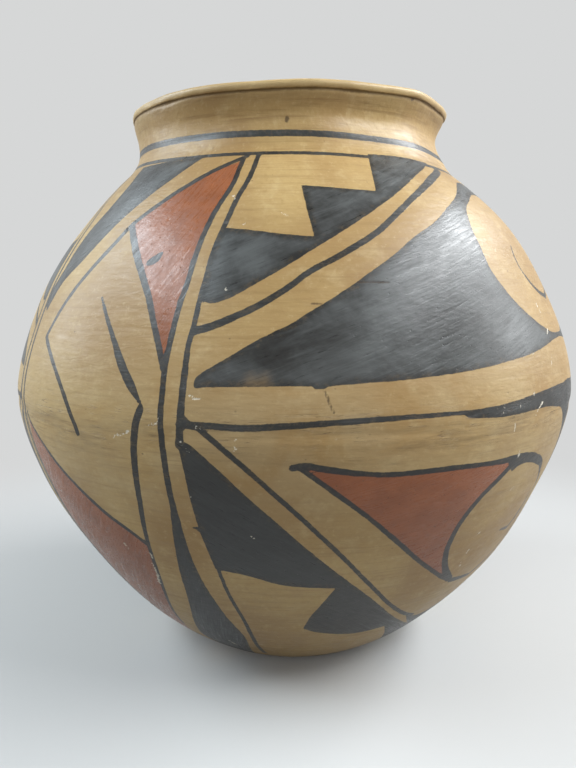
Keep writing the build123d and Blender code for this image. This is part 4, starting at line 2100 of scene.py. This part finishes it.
@dataclass
class PotteryJar:
    """The whole jar: a base dish, coils up to the neck and a rolled lip. Steps are in mm."""

    section: WallSection
    shape: HandShape
    camera: PhotoCamera
    nodes: tuple[str, ...]
    coarse: bool = False
    neck_step: float = 0.8
    lip_step: float = 0.5
    coarse_step: float = 2.5
    coarse_segments: int = 360

    def _seams(self) -> list[tuple[float, float]]:
        """Where each seam meets the outside and the inside of the wall.

        Returns:
            Lengths up the outside and up the inside for each seam.
        """
        outer, outer_ends = self.section.wall(0.0)
        inner, inner_ends = self.section.wall(self.section.wall_thickness)
        outer_knots = [0.0, *outer_ends, outer.total]
        inner_knots = [0.0, *inner_ends, inner.total]
        places = []
        for node in self.nodes[:-1]:
            outside = float(outer.length_at_height(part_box(node)[1].z / MM))
            opposite = float(np.interp(outside, outer_knots, inner_knots))
            places.append((outside, opposite - self.section.scarf_lap))
        return places

    def rings(self) -> list[CoilRing]:
        """Lays out the jar's rings.

        Returns:
            The rings from the foot up.
        """
        section, shape = self.section, self.shape
        seams = self._seams()
        wall, _ = section.wall(0.0)
        inner, _ = section.wall(section.wall_thickness)
        lip_out, lip_in = seams[-1]
        bead, roll = section.lip(wall.at(lip_out), inner.at(lip_in))
        outer = Profile(np.concatenate([wall.points, bead[1:]]))
        lip_inner = Profile(np.concatenate([inner.points[inner.lengths < lip_in], roll]))
        floor = section.floor(inner, seams[0][1])
        dish, *coils, lip = self.nodes
        made = [CoilRing(dish, outer, floor, (0.0, 0.0), (seams[0][0], floor.total), shape, True)]
        for node, low, high in zip(coils, seams, seams[1:]):
            made.append(CoilRing(node, outer, inner, low, high, shape))
        made[-1].row_step = self.neck_step
        made.append(CoilRing(lip, outer, lip_inner, seams[-1], (outer.total, lip_inner.total), shape,
                             row_step=self.lip_step, inner_step=self.lip_step))
        if self.coarse:
            for ring in made:
                ring.segments = self.coarse_segments
                ring.row_step = max(ring.row_step, self.coarse_step)
        return made

    def build(self, materials: ClayMaterials) -> list[bpy.types.Object]:
        """Builds and dresses all the rings.

        Args:
            materials: The finishes.

        Returns:
            The pieces.
        """
        turner = RingTurner()
        design = PaintedDesign(self.section.wall(0.0)[0], self.shape, self.camera)
        pieces = []
        for ring in self.rings():
            piece = ring.build(turner, materials)
            ring.dress(piece, design)
            log.info("%s: %d vertices", piece.name, len(piece.data.vertices))
            pieces.append(piece)
        bpy.data.node_groups.remove(turner.tree)
        return pieces


@dataclass(frozen=True)
class SoftLight:
    """A soft lamp by where it stands in degrees and metres, its size and its power in watts."""

    name: str
    turn: float
    rise: float
    distance: float
    width: float
    height: float
    power: float
    mirrored: bool = True
    tint: tuple[float, float, float] = (0.95, 0.98, 1.0)
    aim: float = 0.24

    def build(self) -> None:
        """Makes the lamp and points it at the jar."""
        data = bpy.data.lights.new(self.name, "AREA")
        data.shape = "RECTANGLE"
        data.size, data.size_y = self.width, self.height
        data.energy = self.power
        data.color = self.tint
        lamp = bpy.data.objects.new(self.name, data)
        lamp.visible_glossy = self.mirrored
        turn, rise = math.radians(self.turn), math.radians(self.rise)
        level = math.cos(rise)
        away = Vector((math.sin(turn) * level, -math.cos(turn) * level, math.sin(rise)))
        lamp.location = Vector((0.0, 0.0, self.aim)) + away * self.distance
        lamp.rotation_euler = (-away).to_track_quat("-Z", "Y").to_euler()
        bpy.context.scene.collection.objects.link(lamp)


@dataclass(frozen=True)
class Studio:
    """A plain pale floor that runs into a pale backdrop, and soft lamps. Lengths are in metres."""

    backdrop: Tone = colour(214, 215, 215)
    floor: Tone = colour(198, 198, 197)
    floor_bounce: Tone = colour(104, 104, 103)
    floor_reach: float = 9.0
    floor_rough: float = 0.75
    floor_specular: float = 0.2
    floor_fade: Ramp = (0.16, 0.62)
    low_sky: float = 0.16
    high_sky: float = 0.25
    dome: Ramp = (0.42, 0.78)
    dome_share: float = 0.4
    lamps: tuple[SoftLight, ...] = (
        SoftLight("left_strip", -82.0, 43.0, 1.4, 1.3, 0.34, 16.0, tint=(0.82, 0.93, 1.0)),
        SoftLight("left_softbox", -96.0, 19.0, 1.5, 0.6, 0.6, 8.5, tint=(0.88, 0.95, 1.0)),
        SoftLight("right_strip", 82.0, 42.0, 1.4, 1.6, 0.34, 31.0),
        SoftLight("right_softbox", 92.0, 18.0, 1.5, 0.8, 0.6, 8.0),
        SoftLight("front_fill", -6.0, 20.0, 1.9, 1.2, 0.8, 9.0, mirrored=False),
    )

    def build(self) -> None:
        """Makes the floor, the world and the lamps."""
        self._floor()
        self._world()
        for lamp in self.lamps:
            lamp.build()

    def _floor(self) -> None:
        """A wide floor, which takes the backdrop's colour far from the jar."""
        signs = ((-1, -1), (1, -1), (1, 1), (-1, 1))
        corners = [(x * self.floor_reach, y * self.floor_reach, 0.0) for x, y in signs]
        mesh = bpy.data.meshes.new("studio_floor")
        mesh.from_pydata(corners, [], [(0, 1, 2, 3)])
        finish = Finish("studio_floor", self.floor_specular)
        net, shader = finish.net, finish.shader
        shader.inputs["Roughness"].default_value = self.floor_rough
        shown = self._shown(net)
        finish.wire("Base Color", net.layered(self.floor_bounce, (shown, self.floor)).socket)
        glow = net.node("ShaderNodeEmission", None, {"Color": self.backdrop, "Strength": 1.0})
        away = net.distance(net.value("ShaderNodeTexCoord", "Object"))
        share = away.rise(*self.floor_fade) * shown
        sides = {0: share, 1: shader.outputs["BSDF"], 2: glow.outputs["Emission"]}
        both = net.node("ShaderNodeMixShader", None, sides)
        output = net.tree.nodes["Material Output"]
        net.tree.links.new(both.outputs["Shader"], output.inputs["Surface"])
        floor = bpy.data.objects.new("studio_floor", mesh)
        floor.data.materials.append(finish.material)
        bpy.context.scene.collection.objects.link(floor)

    @staticmethod
    def _shown(net: Net) -> Value:
        """1 for rays that show the background: to the camera, mirrored or through something.

        Args:
            net: Where it is wired.

        Returns:
            The share.
        """
        path = net.node("ShaderNodeLightPath")
        kinds = ("Camera", "Glossy", "Transmission")
        camera, glossy, through = (Value(net, path.outputs[f"Is {kind} Ray"]) for kind in kinds)
        return camera.larger(glossy).larger(through)

    def _world(self) -> None:
        """Pale light, stronger from above, and the backdrop's colour where it is seen."""
        world = bpy.data.worlds.new("studio_world")
        world.use_nodes = True
        net = Net(world.node_tree)
        world.node_tree.nodes.clear()
        place = net.value("ShaderNodeTexCoord", "Generated")
        up = net.value("ShaderNodeSeparateXYZ", "Z", None, {"Vector": place})
        sky = self.low_sky + up.rise(0.0, 1.0) * (self.high_sky - self.low_sky)
        dome = 1.0 - up.rise(*self.dome) * (1.0 - self.dome_share)
        strength = sky + self._shown(net) * (dome - sky)
        inputs = {"Color": self.backdrop, "Strength": strength}
        back = net.node("ShaderNodeBackground", None, inputs)
        net.node("ShaderNodeOutputWorld", None, {"Surface": back.outputs["Background"]})
        bpy.context.scene.world = world


BOWL_COILS = 4
SHOULDER_COILS = 5
NODES = (
    "base_dish",
    *(f"bowl_coil_{i + 1}" for i in range(BOWL_COILS)),
    *(f"shoulder_coil_{i + 1}" for i in range(SHOULDER_COILS)),
    "neck_coil",
    "lip_coil",
)


def main() -> None:
    """Builds the jar, the studio and the camera."""
    logging.basicConfig(level=logging.INFO, format="%(name)s: %(message)s")
    bpy.context.scene.view_settings.view_transform = "Standard"
    camera = PhotoCamera()
    camera.build()
    Studio().build()
    low, high = CAD_BOX
    section = WallSection(round((high.z - low.z) / MM, 1), round(high.x / MM, 1))
    wall, (belly, _) = section.wall(0.0)
    slip = SlipFinish(round(wall.total, 2), round(belly, 2))
    materials = ClayMaterials(slip.material(), InsideFinish().material(), FootFinish().material())
    jar = PotteryJar(section, HandShape(), camera, NODES, coarse=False)
    pieces = jar.build(materials)
    log.info("jar: %d pieces", len(pieces))


if __name__ == "__main__":
    main()
